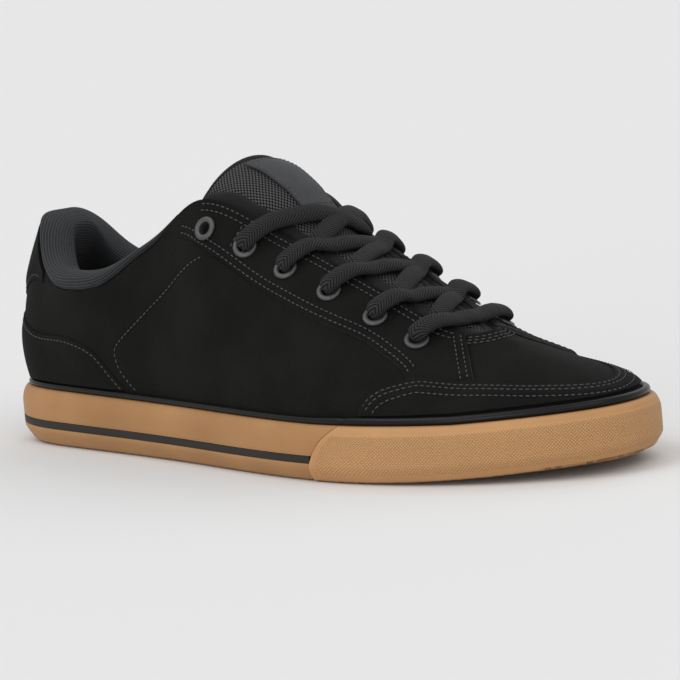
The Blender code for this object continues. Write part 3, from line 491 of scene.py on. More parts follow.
class Shell:
    """Outer face of the upper, as a function of way and level."""

    STEP = 0.004
    FAIRING = 12
    DENSE = 721
    HALVINGS = 24

    def __init__(self, sizes: ShoeSizes) -> None:
        """Set up the section splines and the rises of the overlay lines.

        Args:
            sizes: The shoe's sizes.
        """
        self.sizes = sizes
        self.outline = Outline(sizes)
        self.edge = mirrored_spline(EDGE, odd=(1,))
        self.shape = mirrored_spline(SHAPE)
        self.dense = np.linspace(0.0, 2.0, self.DENSE)
        controls = self.controls(self.dense)
        span = controls[3][:, 2] - controls[0][:, 2]
        side = one_sided(self.dense)
        rand = (2.0 * sizes.rand_radius + 2.0 * sizes.clearance) / span
        shares = (rand, eased(side, LINES, 1), eased(side, LINES, 2))
        rises = [self.rises_at_height(controls, share) for share in shares]
        self.stops = np.stack([np.zeros(self.DENSE), *rises, np.ones(self.DENSE)])

    def along(self, x: np.ndarray) -> np.ndarray:
        """Share of the length from the heel."""
        return x / self.sizes.length + 0.5

    def rim_height(self, x: np.ndarray) -> np.ndarray:
        """Height of the sole's rim above the ground."""
        shares = [row[0] for row in RIM_LINE]
        return self.sizes.sidewall_height * np.interp(self.along(x), shares, [row[1] for row in RIM_LINE])

    def ground_height(self, x: np.ndarray) -> np.ndarray:
        """Height of the underside, with its toe spring and heel lift.

        Args:
            x: Places along the shoe.

        Returns:
            Heights in metres.
        """
        share = self.along(x)
        toe = np.maximum(0.0, share - self.sizes.spring_start) / (1.0 - self.sizes.spring_start)
        heel = np.maximum(0.0, self.sizes.lift_end - share) / self.sizes.lift_end
        return self.sizes.toe_spring * toe ** 2 + self.sizes.heel_lift * heel ** 2

    def floor_height(self, x: np.ndarray) -> np.ndarray:
        """Height of the cup's floor."""
        return self.ground_height(x) + self.sizes.floor_height

    def ring(self, ways: np.ndarray, inset: np.ndarray | float, height: np.ndarray | float) -> np.ndarray:
        """Points at an inset from the sole's outline and a height.

        Args:
            ways: Ways round.
            inset: Distance inside the outline.
            height: Height above the ground.

        Returns:
            The points.
        """
        places = self.outline.points(ways) - self.outline.normals(ways) * np.asarray(inset)[..., None]
        places[:, 2] = height
        return places

    def spine(self, ways: np.ndarray, inset: float) -> np.ndarray:
        """Points midway between a ring at an inset and the same ring's other side, at height 0."""
        return (self.ring(ways, inset, 0.0) + self.ring(2.0 - ways, inset, 0.0)) / 2.0

    def controls(self, ways: np.ndarray) -> list[np.ndarray]:
        """Four control points of each section.

        Args:
            ways: Ways round.

        Returns:
            Points of the foot, two reaches and the edge.
        """
        sizes = self.sizes
        points = self.outline.points(ways)
        normals = self.outline.normals(ways)
        foot = points - normals * sizes.shell_inset
        foot[:, 2] = self.rim_height(points[:, 0])
        along, across, instep, heel, drop = self.edge(ways).T
        height = instep * sizes.instep_height + heel * sizes.heel_height
        height = height - np.where(np.asarray(ways) % 2.0 > 1.0, drop * sizes.heel_height, 0.0)
        top = np.stack([(along - 0.5) * sizes.length, -across * sizes.ball_width, height], -1)
        low_lean, low_reach, high_lean, high_reach = self.shape(ways).T
        chord = np.linalg.norm(top - foot, axis=1)[:, None]
        up = np.array([0.0, 0.0, 1.0])
        low_turn, high_turn = np.radians(low_lean)[:, None], np.radians(high_lean)[:, None]
        low = up * np.cos(low_turn) + normals * np.sin(low_turn)
        aside = foot - top
        aside[:, 2] = 0.0
        aside = unit(aside + normals * sizes.shell_inset)
        high = aside * np.sin(high_turn) - up * np.cos(high_turn)
        return [foot, foot + low * chord * low_reach[:, None], top + high * chord * high_reach[:, None], top]

    @staticmethod
    def on_section(controls: Sequence[np.ndarray], rises: np.ndarray) -> np.ndarray:
        """Points of sections at shares of their curves.

        Args:
            controls: Four control points of each section.
            rises: Share of each section's curve.

        Returns:
            One point a section.
        """
        rise = np.asarray(rises, float)[:, None]
        fall = 1.0 - rise
        weights = (fall ** 3, 3.0 * fall ** 2 * rise, 3.0 * fall * rise ** 2, rise ** 3)
        return sum(control * weight for control, weight in zip(controls, weights))

    def rises_at_height(self, controls: Sequence[np.ndarray], shares: np.ndarray) -> np.ndarray:
        """Shares of the sections' curves at which they reach shares of their heights.

        Args:
            controls: Four control points of each section.
            shares: Share of each section's height.

        Returns:
            Share of each section's curve.
        """
        target = controls[0][:, 2] + shares * (controls[3][:, 2] - controls[0][:, 2])
        low, high = np.zeros(len(target)), np.ones(len(target))
        for _ in range(self.HALVINGS):
            middle = (low + high) / 2.0
            below = self.on_section(controls, middle)[:, 2] < target
            low = np.where(below, middle, low)
            high = np.where(below, high, middle)
        return high

    def rises(self, ways: np.ndarray, levels: np.ndarray) -> np.ndarray:
        """Shares of the sections' curves at levels.

        Args:
            ways: Ways round.
            levels: Levels from 0 to 3.

        Returns:
            Share of each section's curve.
        """
        ways = np.asarray(ways, float) % 2.0
        levels = np.clip(levels, 0.0, 3.0)
        stops = np.stack([np.interp(ways, self.dense, row) for row in self.stops])
        marks = np.array(LEVEL_STOPS)
        k = np.clip(np.searchsorted(marks, levels, side="right") - 1, 0, len(marks) - 2)
        share = (levels - marks[k]) / (marks[k + 1] - marks[k])
        column = np.arange(len(ways))
        return stops[k, column] * (1.0 - share) + stops[k + 1, column] * share

    def points(self, ways: np.ndarray, rises: np.ndarray, offset: np.ndarray | float = 0.0) -> np.ndarray:
        """Points of the face, moved out along its normals by an offset.

        Args:
            ways: Ways round.
            rises: Share of each section's curve.
            offset: Distance out.

        Returns:
            The points.
        """
        ways = np.asarray(ways, float)
        places = self.on_section(self.controls(ways), rises)
        if np.any(np.asarray(offset) != 0.0):
            places = places + self.normals(ways, rises) * np.asarray(offset)[..., None]
        return places

    def normals(self, ways: np.ndarray, rises: np.ndarray) -> np.ndarray:
        """Outward normals of the face.

        Args:
            ways: Ways round.
            rises: Share of each section's curve.

        Returns:
            Unit directions.
        """
        rises = np.asarray(rises, float)
        low, high = np.maximum(0.0, rises - self.STEP), np.minimum(1.0, rises + self.STEP)
        ahead = self.on_section(self.controls(ways + self.STEP), rises)
        behind = self.on_section(self.controls(ways - self.STEP), rises)
        controls = self.controls(ways)
        upward = self.on_section(controls, high) - self.on_section(controls, low)
        return unit(np.cross(ahead - behind, upward))

    def edge_directions(self, ways: np.ndarray) -> np.ndarray:
        """Directions in which the sections run out of the opening's edge."""
        controls = self.controls(ways)
        return unit(controls[3] - controls[2])

    def setback_rises(self, ways: np.ndarray, distance: float) -> np.ndarray:
        """Shares of the sections' curves at a distance from the opening's edge.

        Args:
            ways: Ways round.
            distance: Distance down the face.

        Returns:
            Share of each section's curve.
        """
        controls = self.controls(ways)
        falls = np.linspace(1.0, 0.3, 71)
        rows = np.stack([self.on_section(controls, np.full(len(ways), fall)) for fall in falls])
        steps = np.linalg.norm(np.diff(rows, axis=0), axis=2)
        lengths = np.vstack([np.zeros(len(ways)), np.cumsum(steps, axis=0)])
        return np.array([np.interp(distance, lengths[:, i], falls) for i in range(len(ways))])

    def shifted(self, ways: np.ndarray, rises: np.ndarray, distance: float) -> tuple[np.ndarray, np.ndarray]:
        """Curve on the face at a distance from another, to its left seen from outside.

        Args:
            ways: Ways of the curve's points, in order.
            rises: Rises of the curve's points.
            distance: Distance in metres, negative to the right.

        Returns:
            Ways and rises of the new curve.
        """
        base = self.points(ways, rises)
        aside = unit(np.cross(self.normals(ways, rises), unit(np.gradient(base, axis=0))))
        target = base + aside * distance
        way, rise = ways.copy(), rises.copy()
        step = 0.001
        for _ in range(4):
            miss = target - self.points(way, rise)
            by_way = (self.points(way + step, rise) - self.points(way - step, rise)) / (2.0 * step)
            by_rise = (self.points(way, rise + step) - self.points(way, rise - step)) / (2.0 * step)
            a, b, c = (by_way ** 2).sum(1), (by_way * by_rise).sum(1), (by_rise ** 2).sum(1)
            d, e = (miss * by_way).sum(1), (miss * by_rise).sum(1)
            det = np.maximum(a * c - b * b, 1e-12)
            way = way + (d * c - e * b) / det
            rise = np.clip(rise + (a * e - b * d) / det, 0.0, 1.0)
        forward = (np.gradient(self.points(way, rise), axis=0) * np.gradient(base, axis=0)).sum(1) > 0.0
        way, rise = way[forward], rise[forward]
        for _ in range(self.FAIRING):
            way[1:-1] = (way[:-2] + 2.0 * way[1:-1] + way[2:]) / 4.0
            rise[1:-1] = (rise[:-2] + 2.0 * rise[1:-1] + rise[2:]) / 4.0
        return way, rise


SHELL = Shell(SIZES)


class Side(Enum):
    """The two sides of the shoe."""

    LATERAL = "lateral"
    MEDIAL = "medial"

    def way(self, ways: np.ndarray | float) -> np.ndarray | float:
        """Ways on this side, from ways of the outer side."""
        return ways if self is Side.LATERAL else 2.0 - np.asarray(ways)


# Shader building

Socket = bpy.types.NodeSocket


class NodeKit:
    """Short ways to add and join nodes in one tree."""

    def __init__(self, tree: bpy.types.NodeTree) -> None:
        """Keep the tree that nodes go in."""
        self.tree = tree

    def add(self, kind: str, **inputs: object) -> bpy.types.Node:
        """Add a node and set or join its inputs by name, with _ for a blank.

        Args:
            kind: The node's type.
            inputs: Sockets or values, by input name.

        Returns:
            The node.
        """
        node = self.tree.nodes.new(kind)
        for name, value in inputs.items():
            self.feed(node.inputs[name.replace("_", " ")], value)
        return node

    def feed(self, socket: Socket, value: object) -> None:
        """Join a socket to another, or set its value.

        Args:
            socket: The input.
            value: A socket or a value.
        """
        if isinstance(value, bpy.types.NodeSocket):
            self.tree.links.new(value, socket)
        else:
            socket.default_value = value

    def math(self, operation: str, first: object, second: object = 0.0, third: object = 0.0) -> Socket:
        """Add a math node.

        Args:
            operation: What the node does.
            first: First input.
            second: Second input.
            third: Third input.

        Returns:
            The result.
        """
        node = self.tree.nodes.new("ShaderNodeMath")
        node.operation = operation
        for socket, value in zip(node.inputs, (first, second, third)):
            self.feed(socket, value)
        return node.outputs[0]

    def blend(self, factor: object, first: object, second: object) -> Socket:
        """Mix two colours.

        Args:
            factor: Share of the second.
            first: First colour.
            second: Second colour.

        Returns:
            The mix.
        """
        node = self.tree.nodes.new("ShaderNodeMix")
        node.data_type = "RGBA"
        self.feed(node.inputs["Factor"], factor)
        self.feed(node.inputs["A"], first)
        self.feed(node.inputs["B"], second)
        return node.outputs["Result"]

    def ramp(self, value: object, low: float, high: float, start: float = 0.0, end: float = 1.0) -> Socket:
        """Map a value from low to high onto start to end, smoothly.

        Args:
            value: The value.
            low: Lowest value.
            high: Highest value.
            start: Result at low.
            end: Result at high.

        Returns:
            The result.
        """
        node = self.add("ShaderNodeMapRange", Value=value)
        node.interpolation_type = "SMOOTHSTEP"
        for name, number in (("From Min", low), ("From Max", high), ("To Min", start), ("To Max", end)):
            node.inputs[name].default_value = number
        return node.outputs["Result"]

    def noise(self, vector: object, scale: float, detail: float = 2.0, roughness: float = 0.5) -> Socket:
        """Noise between 0 and 1."""
        node = self.add("ShaderNodeTexNoise", Vector=vector, Scale=scale, Detail=detail, Roughness=roughness)
        return node.outputs["Fac"]

    def object_coordinates(self) -> Socket:
        """The piece's own coordinates, in metres."""
        return self.tree.nodes.new("ShaderNodeTexCoord").outputs["Object"]

    def surface_coordinates(self) -> tuple[Socket, Socket]:
        """The piece's UV map, in millimetres.

        Returns:
            Place along and place across the surface.
        """
        uv = self.tree.nodes.new("ShaderNodeTexCoord").outputs["UV"]
        split = self.add("ShaderNodeSeparateXYZ", Vector=uv)
        return split.outputs["X"], split.outputs["Y"]

    def attribute(self, name: str) -> Socket:
        """A number kept at each of the piece's points.

        Args:
            name: The attribute's name.

        Returns:
            The number.
        """
        node = self.tree.nodes.new("ShaderNodeAttribute")
        node.attribute_name = name
        return node.outputs["Fac"]

    def wave(self, position: object, pitch: float) -> Socket:
        """Cosine of a position with a pitch, from -1 to 1."""
        return self.math("COSINE", self.math("MULTIPLY", position, 2.0 * math.pi / pitch))


def make_group(
    name: str, inputs: Sequence[tuple[str, float]], outputs: Sequence[str]
) -> tuple[bpy.types.NodeTree, NodeKit, bpy.types.Node, bpy.types.Node]:
    """Start a node group with number sockets.

    Args:
        name: The group's name.
        inputs: Name and default of each input.
        outputs: Name of each output.

    Returns:
        The group, its kit, its input node and its output node.
    """
    group = bpy.data.node_groups.new(name, "ShaderNodeTree")
    for label, default in inputs:
        socket = group.interface.new_socket(name=label, in_out="INPUT", socket_type="NodeSocketFloat")
        socket.default_value = default
    for label in outputs:
        group.interface.new_socket(name=label, in_out="OUTPUT", socket_type="NodeSocketFloat")
    kit = NodeKit(group)
    return group, kit, group.nodes.new("NodeGroupInput"), group.nodes.new("NodeGroupOutput")


def make_nap_group() -> bpy.types.NodeTree:
    """Short fibres of brushed leather or cloth: a tone that shifts in patches, and a fine height.

    Returns:
        The group, with its outputs Tone and Height.
    """
    group, kit, given, result = make_group("nap", (("Patch", 45.0), ("Fibre", 2600.0)), ("Tone", "Height"))
    place = kit.object_coordinates()
    patch = kit.tree.nodes.new("ShaderNodeTexNoise")
    kit.feed(patch.inputs["Vector"], place)
    kit.feed(patch.inputs["Scale"], given.outputs["Patch"])
    patch.inputs["Detail"].default_value = 4.0
    fibre = kit.tree.nodes.new("ShaderNodeTexNoise")
    kit.feed(fibre.inputs["Vector"], place)
    kit.feed(fibre.inputs["Scale"], given.outputs["Fibre"])
    fibre.inputs["Detail"].default_value = 2.0
    coarse = kit.noise(place, 700.0, 2.0)
    tone = kit.math("ADD", kit.math("MULTIPLY", patch.outputs["Fac"], 0.7), kit.math("MULTIPLY", coarse, 0.3))
    kit.feed(result.inputs["Tone"], kit.ramp(tone, 0.35, 0.65))
    height = kit.math("ADD", fibre.outputs["Fac"], kit.math("MULTIPLY", coarse, 0.6))
    kit.feed(result.inputs["Height"], height)
    return group


def make_thread_group() -> bpy.types.NodeTree:
    """Over and under threads of cloth, by position on the surface in millimetres.

    Returns:
        The group, with its output Height.
    """
    group, kit, given, result = make_group(
        "thread_weave", (("Along", 0.0), ("Across", 0.0), ("Pitch", 0.5)), ("Height",)
    )
    turn = kit.math("DIVIDE", 2.0 * math.pi, given.outputs["Pitch"])
    along = kit.math("COSINE", kit.math("MULTIPLY", given.outputs["Along"], turn))
    across = kit.math("COSINE", kit.math("MULTIPLY", given.outputs["Across"], turn))
    kit.feed(result.inputs["Height"], kit.math("ABSOLUTE", kit.math("MULTIPLY", along, across)))
    return group


NAP = make_nap_group()
THREADS = make_thread_group()


@dataclass(frozen=True)
class Finish:
    """A finish with its colours and plain shader values."""

    name: str
    slot: str
    dark: tuple[float, float, float]
    light: tuple[float, float, float]
    roughness: float
    specular: float = 0.5
    metallic: float = 0.0
    sheen: float = 0.0
    coat: float = 0.0

    def material(self) -> bpy.types.Material:
        """Build the finish's material once.

        Returns:
            The material.
        """
        made = bpy.data.materials.get(self.name)
        if made:
            return made
        made = bpy.data.materials.new(self.name)
        made.use_nodes = True
        shader = made.node_tree.nodes["Principled BSDF"]
        shader.inputs["Roughness"].default_value = self.roughness
        shader.inputs["Specular IOR Level"].default_value = self.specular
        shader.inputs["Metallic"].default_value = self.metallic
        shader.inputs["Sheen Weight"].default_value = self.sheen
        shader.inputs["Sheen Roughness"].default_value = 0.4
        shader.inputs["Coat Weight"].default_value = self.coat
        shader.inputs["Coat Roughness"].default_value = 0.2
        kit = NodeKit(made.node_tree)
        tone, height, depth = self.pattern(kit)
        kit.feed(shader.inputs["Base Color"], kit.blend(tone, (*self.dark, 1.0), (*self.light, 1.0)))
        bump = kit.add("ShaderNodeBump", Height=height, Distance=depth)
        bump.inputs["Strength"].default_value = 1.0
        kit.feed(shader.inputs["Normal"], bump.outputs["Normal"])
        return made

    def pattern(self, kit: NodeKit) -> tuple[Socket, Socket, float]:
        """Tone from dark to light, height of the relief and its depth in metres."""
        place = kit.object_coordinates()
        return kit.noise(place, 60.0, 3.0), kit.noise(place, 1500.0, 2.0), 0.00004


@dataclass(frozen=True)
class Nubuck(Finish):
    """Brushed leather with a short nap."""

    patch: float = 45.0
    depth: float = 0.00016

    def pattern(self, kit: NodeKit) -> tuple[Socket, Socket, float]:
        """Nap in patches, with fine fibres.

        Args:
            kit: The material's nodes.

        Returns:
            Tone, height and depth in metres.
        """
        nap = kit.tree.nodes.new("ShaderNodeGroup")
        nap.node_tree = NAP
        nap.inputs["Patch"].default_value = self.patch
        return nap.outputs["Tone"], nap.outputs["Height"], self.depth


@dataclass(frozen=True)
class Rubber(Finish):
    """Moulded rubber with faint mottling, and a knurl where the piece says so."""

    knurl_pitch: float = 1.25
    knurl_depth: float = 0.0004

    def pattern(self, kit: NodeKit) -> tuple[Socket, Socket, float]:
        """Mottle, and diamonds where the knurl attribute marks, with painted shade in their grooves.

        Args:
            kit: The material's nodes.

        Returns:
            Tone, height and depth in metres.
        """
        place = kit.object_coordinates()
        along, across = kit.surface_coordinates()
        rising = kit.math("MULTIPLY", kit.math("ADD", along, across), math.pi / self.knurl_pitch)
        falling = kit.math("MULTIPLY", kit.math("SUBTRACT", along, across), math.pi / self.knurl_pitch)
        first = kit.math("ABSOLUTE", kit.math("SINE", rising))
        second = kit.math("ABSOLUTE", kit.math("SINE", falling))
        field_mask = kit.attribute("knurl")
        diamonds = kit.math("MULTIPLY", kit.math("MINIMUM", first, second), field_mask)
        fine = kit.math("MULTIPLY", kit.noise(place, 1800.0, 2.0), 0.08)
        mottle = kit.math("MULTIPLY", kit.noise(place, 38.0, 4.0), 0.5)
        # Paler over the bumper, with a painted highlight on its raised lip and painted shade in the groove
        # behind it.
        bumper_paleness_and_lip_shading = kit.math("MULTIPLY", kit.attribute("bumper"), 0.3)
        # Tone rises on the knurl diamonds and falls in their grooves as painted shade.
        knurl_shade_and_bumper_tone = kit.math("ADD", kit.math("MULTIPLY", diamonds, 1.1), bumper_paleness_and_lip_shading)
        tone = kit.math("ADD", mottle, knurl_shade_and_bumper_tone)
        return kit.math("MINIMUM", tone, 1.2), kit.math("ADD", diamonds, fine), self.knurl_depth


@dataclass(frozen=True)
class Tread(Finish):
    """Underside of the sole, with rows of small waves."""

    pitch: float = 0.0052
    depth: float = 0.0011

    def pattern(self, kit: NodeKit) -> tuple[Socket, Socket, float]:
        """Zigzag grooves across the sole, darkened as painted shade.

        Args:
            kit: The material's nodes.

        Returns:
            Tone, height and depth in metres.
        """
        split = kit.add("ShaderNodeSeparateXYZ", Vector=kit.object_coordinates())
        zigzag = kit.math("PINGPONG", split.outputs["Y"], self.pitch)
        position = kit.math("ADD", split.outputs["X"], zigzag)
        ridge = kit.ramp(kit.wave(position, self.pitch), -0.35, 0.25)
        # The ridge mask also sets the tone, so the grooves get painted shade.
        return kit.math("MULTIPLY", ridge, 0.8), ridge, self.depth


@dataclass(frozen=True)
class Cloth(Finish):
    """Plain woven or knitted cloth."""

    pitch: float = 0.55
    depth: float = 0.00012

    def pattern(self, kit: NodeKit) -> tuple[Socket, Socket, float]:
        """Threads over and under, with a slight unevenness and painted shade where the threads dip.

        Args:
            kit: The material's nodes.

        Returns:
            Tone, height and depth in metres.
        """
        along, across = kit.surface_coordinates()
        weave = kit.tree.nodes.new("ShaderNodeGroup")
        weave.node_tree = THREADS
        kit.feed(weave.inputs["Along"], along)
        kit.feed(weave.inputs["Across"], across)
        weave.inputs["Pitch"].default_value = self.pitch
        height = weave.outputs["Height"]
        uneven = kit.noise(kit.object_coordinates(), 300.0, 3.0)
        # Tone follows the weave's height as painted shade between threads, plus random unevenness.
        tone = kit.math("ADD", kit.math("MULTIPLY", height, 0.6), kit.math("MULTIPLY", uneven, 0.5))
        return kit.ramp(tone, 0.1, 0.9), height, self.depth


@dataclass(frozen=True)
class RibbedCloth(Cloth):
    """Knit with narrow ribs that follow the roll, with painted shade between them."""

    rib_pitch: float = 1.15

    def pattern(self, kit: NodeKit) -> tuple[Socket, Socket, float]:
        """Knit stitches along each rib.

        Args:
            kit: The material's nodes.

        Returns:
            Tone, height and depth in metres.
        """
        along, across = kit.surface_coordinates()
        rib = kit.wave(across, self.rib_pitch)
        knit = kit.wave(kit.math("ADD", along, kit.math("MULTIPLY", rib, 0.35)), self.pitch)
        raised = kit.ramp(rib, -0.9, 0.5)
        height = kit.math("ADD", raised, kit.math("MULTIPLY", knit, 0.2))
        fuzz = kit.noise(kit.object_coordinates(), 900.0, 3.0)
        uneven = kit.math("ADD", kit.math("MULTIPLY", knit, 0.2), kit.math("MULTIPLY", fuzz, 0.7))
        # The dips between ribs are darkened as painted shade, with fuzz for an uneven tone.
        tone = kit.math("MULTIPLY", raised, kit.math("ADD", uneven, 0.45))
        return tone, height, self.depth


@dataclass(frozen=True)
class OpenMesh(Cloth):
    """Open mesh with staggered round holes."""

    hole: float = 0.02

    def pattern(self, kit: NodeKit) -> tuple[Socket, Socket, float]:
        """Holes in staggered rows with raised threads between; the holes are near black, for the dark padding
        behind and painted shade.

        Args:
            kit: The material's nodes.

        Returns:
            Tone, height and depth in metres.
        """
        along, across = kit.surface_coordinates()
        rows = kit.math("MULTIPLY", kit.wave(along, self.pitch * 1.5), kit.wave(across, self.pitch * 1.1))
        thread = kit.ramp(rows, self.hole + 0.12, self.hole - 0.12)
        fuzz = kit.noise(kit.object_coordinates(), 2400.0)
        tone = kit.math("MULTIPLY", thread, kit.math("ADD", kit.math("MULTIPLY", fuzz, 0.5), 0.7))
        height = kit.math("ADD", thread, kit.math("MULTIPLY", fuzz, 0.15))
        return tone, height, self.depth


@dataclass(frozen=True)
class Braid(Cloth):
    """Oval lace braided in a herringbone."""

    chevron: float = 4.6
    slant: float = 0.9

    def pattern(self, kit: NodeKit) -> tuple[Socket, Socket, float]:
        """Slanted ribs that turn back at the middle of each face, with painted shade in the dips between
        them.

        Args:
            kit: The material's nodes.

        Returns:
            Tone, height and depth in metres.
        """
        along, across = kit.surface_coordinates()
        zigzag = kit.math("PINGPONG", across, self.chevron)
        leaning = kit.math("ADD", along, kit.math("MULTIPLY", zigzag, self.slant))
        rib = kit.ramp(kit.wave(leaning, self.pitch), -0.9, 0.7)
        against = kit.math("SUBTRACT", along, kit.math("MULTIPLY", zigzag, 1.6 * self.slant))
        cross = kit.ramp(kit.wave(against, self.pitch * 0.62), -1.0, 0.4, 0.55, 1.0)
        height = kit.math("MULTIPLY", rib, cross)
        fuzz = kit.noise(kit.object_coordinates(), 1600.0)
        # Tone follows the braid's height, darker in its dips as painted shade.
        tone = kit.math("MULTIPLY", height, kit.math("ADD", kit.math("MULTIPLY", fuzz, 0.4), 0.75))
        return tone, height, self.depth


class Finishes(Enum):
    """Every finish of the shoe."""

    NUBUCK = Nubuck(
        "nubuck_nap", "nubuck", (0.0058, 0.0058, 0.0054), (0.0088, 0.0087, 0.0081),
        roughness=0.88, specular=0.10, sheen=0.015,
    )
    CUT_EDGE = Nubuck(
        "cut_edge", "nubuck", (0.020, 0.020, 0.019), (0.055, 0.055, 0.052),
        roughness=0.9, specular=0.15, depth=0.0002,
    )
    GUM = Rubber(
        "moulded_gum", "gum_rubber", (0.300, 0.150, 0.055), (0.620, 0.340, 0.150),
        roughness=0.5, specular=0.25,
    )
    TREAD = Tread(
        "gum_tread", "gum_rubber", (0.24, 0.12, 0.05), (0.42, 0.22, 0.09),
        roughness=0.6, specular=0.3,
    )
    STRIPE = Rubber(
        "moulded_stripe", "stripe_rubber", (0.020, 0.017, 0.015), (0.032, 0.028, 0.025),
        roughness=0.55, specular=0.25,
    )
    RAND = Rubber(
        "moulded_rand", "rand_rubber", (0.005, 0.005, 0.005), (0.009, 0.009, 0.009),
        roughness=0.30, specular=0.18, coat=0.04,
    )
    RIB = RibbedCloth(
        "collar_rib", "collar_textile", (0.012, 0.013, 0.014), (0.046, 0.049, 0.055),
        roughness=0.85, specular=0.2, sheen=0.08, depth=0.0003,
    )
    LINING = Cloth(
        "lining", "nubuck", (0.006, 0.006, 0.007), (0.016, 0.016, 0.018),
        roughness=0.9, specular=0.15,
    )
    INSOLE = Cloth(
        "insole_cloth", "insole_foam", (0.008, 0.008, 0.009), (0.024, 0.024, 0.026),
        roughness=0.9, specular=0.15, pitch=0.9,
    )
    MESH = OpenMesh(
        "open_mesh", "tongue_mesh", (0.002, 0.002, 0.002), (0.082, 0.082, 0.085),
        roughness=0.8, specular=0.2, pitch=1.3, depth=0.0005,
    )
    BINDING = Cloth(
        "tongue_binding", "tongue_mesh", (0.008, 0.008, 0.008), (0.020, 0.020, 0.021),
        roughness=0.85, specular=0.2, sheen=0.05,
    )
    LABEL = Cloth(
        "bare_satin", "label_satin", (0.028, 0.029, 0.033), (0.054, 0.056, 0.063),
        roughness=0.5, specular=0.3, pitch=0.42, depth=0.00007,
    )
    LACE = Braid(
        "lace_braid", "lace_cord", (0.003, 0.003, 0.0032), (0.042, 0.042, 0.045),
        roughness=0.8, specular=0.2, sheen=0.04, pitch=1.2, depth=0.0005,
    )
    THREAD = Cloth(
        "seam_thread", "nubuck", (0.075, 0.075, 0.080), (0.170, 0.170, 0.180),
        roughness=0.7, specular=0.3,
    )
    EYELET = Finish(
        "rolled_metal", "eyelet_metal", (0.060, 0.060, 0.062), (0.100, 0.100, 0.104),
        roughness=0.42, specular=0.5, metallic=0.6,
    )

    def dress(self, piece: bpy.types.Object) -> None:
        """Give the whole piece this finish.

        Args:
            piece: The piece.
        """
        piece.data.materials.clear()
        piece.data.materials.append(self.value.material())

    def add_to(self, piece: bpy.types.Object) -> int:
        """Add this finish after the piece's others and return its number."""
        piece.data.materials.append(self.value.material())
        return len(piece.data.materials) - 1


# Mesh building


def deselect() -> None:
    """Clear the selection."""
    bpy.ops.object.select_all(action="DESELECT")


def grid_piece(
    name: str, places: np.ndarray, uv: tuple[np.ndarray, np.ndarray] | None = None
) -> bpy.types.Object:
    """Add a grid primitive and lay its vertices on a table of places.

    Args:
        name: The piece's name.
        places: Places by column, row and axis.
        uv: Millimetres along and across the surface for each column and row, or None for plain ones.

    Returns:
        The piece, with its UV map.
    """
    columns, rows = places.shape[:2]
    deselect()
    bpy.ops.mesh.primitive_grid_add(x_subdivisions=columns - 1, y_subdivisions=rows - 1, size=1.0)
    piece = bpy.context.object
    piece.name = piece.data.name = name
    mesh = piece.data
    flat = np.empty(len(mesh.vertices) * 3)
    mesh.vertices.foreach_get("co", flat)
    flat = flat.reshape(-1, 3)
    i = np.rint((flat[:, 0] + 0.5) * (columns - 1)).astype(int)
    j = np.rint((flat[:, 1] + 0.5) * (rows - 1)).astype(int)
    mesh.vertices.foreach_set("co", places[i, j].ravel())
    if uv is None:
        along = polyline_length(places[:, rows // 2])
        across = polyline_length(places[columns // 2])
        uv = np.meshgrid(along / MM, across / MM, indexing="ij")
    loops = np.empty(len(mesh.loops), int)
    mesh.loops.foreach_get("vertex_index", loops)
    pairs = np.stack([uv[0][i, j], uv[1][i, j]], -1)[loops]
    mesh.uv_layers[0].data.foreach_set("uv", pairs.ravel())
    keep_point_numbers(mesh, i, j)
    return piece


def keep_point_numbers(mesh: bpy.types.Mesh, i: np.ndarray, j: np.ndarray) -> None:
    """Keep each vertex's column and row until the piece is finished.

    Args:
        mesh: The mesh.
        i: Column of each vertex.
        j: Row of each vertex.
    """
    for label, values in (("column", i), ("row", j)):
        layer = mesh.attributes.new(label, "FLOAT", "POINT")
        layer.data.foreach_set("value", values.astype(float))


def set_attribute(piece: bpy.types.Object, name: str, table: np.ndarray) -> None:
    """Keep a table of numbers, by column and row, at the piece's points.

    Args:
        piece: The piece.
        name: The attribute's name.
        table: The numbers.
    """
    mesh = piece.data
    count = len(mesh.vertices)
    i, j = np.empty(count), np.empty(count)
    mesh.attributes["column"].data.foreach_get("value", i)
    mesh.attributes["row"].data.foreach_get("value", j)
    layer = mesh.attributes.new(name, "FLOAT", "POINT")
    layer.data.foreach_set("value", table[np.rint(i).astype(int), np.rint(j).astype(int)].astype(float))


def close_piece(piece: bpy.types.Object, distance: float = 1e-6) -> None:
    """Merge vertices that share a place and drop faces left with no area.

    Args:
        piece: The piece.
        distance: Greatest gap that is merged.
    """
    shape = bmesh.new()
    shape.from_mesh(piece.data)
    bmesh.ops.remove_doubles(shape, verts=shape.verts, dist=distance)
    bmesh.ops.dissolve_degenerate(shape, edges=shape.edges, dist=distance)
    shape.to_mesh(piece.data)
    shape.free()


def drop_faces(piece: bpy.types.Object, centres: np.ndarray, radius: float) -> None:
    """Delete the faces whose middle lies within a radius of any centre.

    Args:
        piece: The piece.
        centres: Middles of the holes.
        radius: Radius of the holes.
    """
    shape = bmesh.new()
    shape.from_mesh(piece.data)
    centres = [Vector(centre) for centre in centres]
    inside = []
    for face in shape.faces:
        middle = face.calc_center_median()
        if any((middle - centre).length < radius for centre in centres):
            inside.append(face)
    bmesh.ops.delete(shape, geom=inside, context="FACES")
    shape.to_mesh(piece.data)
    shape.free()


def pick(piece: bpy.types.Object) -> None:
    """Select one piece alone and make it active.

    Args:
        piece: The piece.
    """
    deselect()
    bpy.context.view_layer.objects.active = piece
    piece.select_set(True)


def apply_modifiers(piece: bpy.types.Object) -> None:
    """Apply every modifier of a piece, in order.

    Args:
        piece: The piece.
    """
    pick(piece)
    for modifier in list(piece.modifiers):
        bpy.ops.object.modifier_apply(modifier=modifier.name)


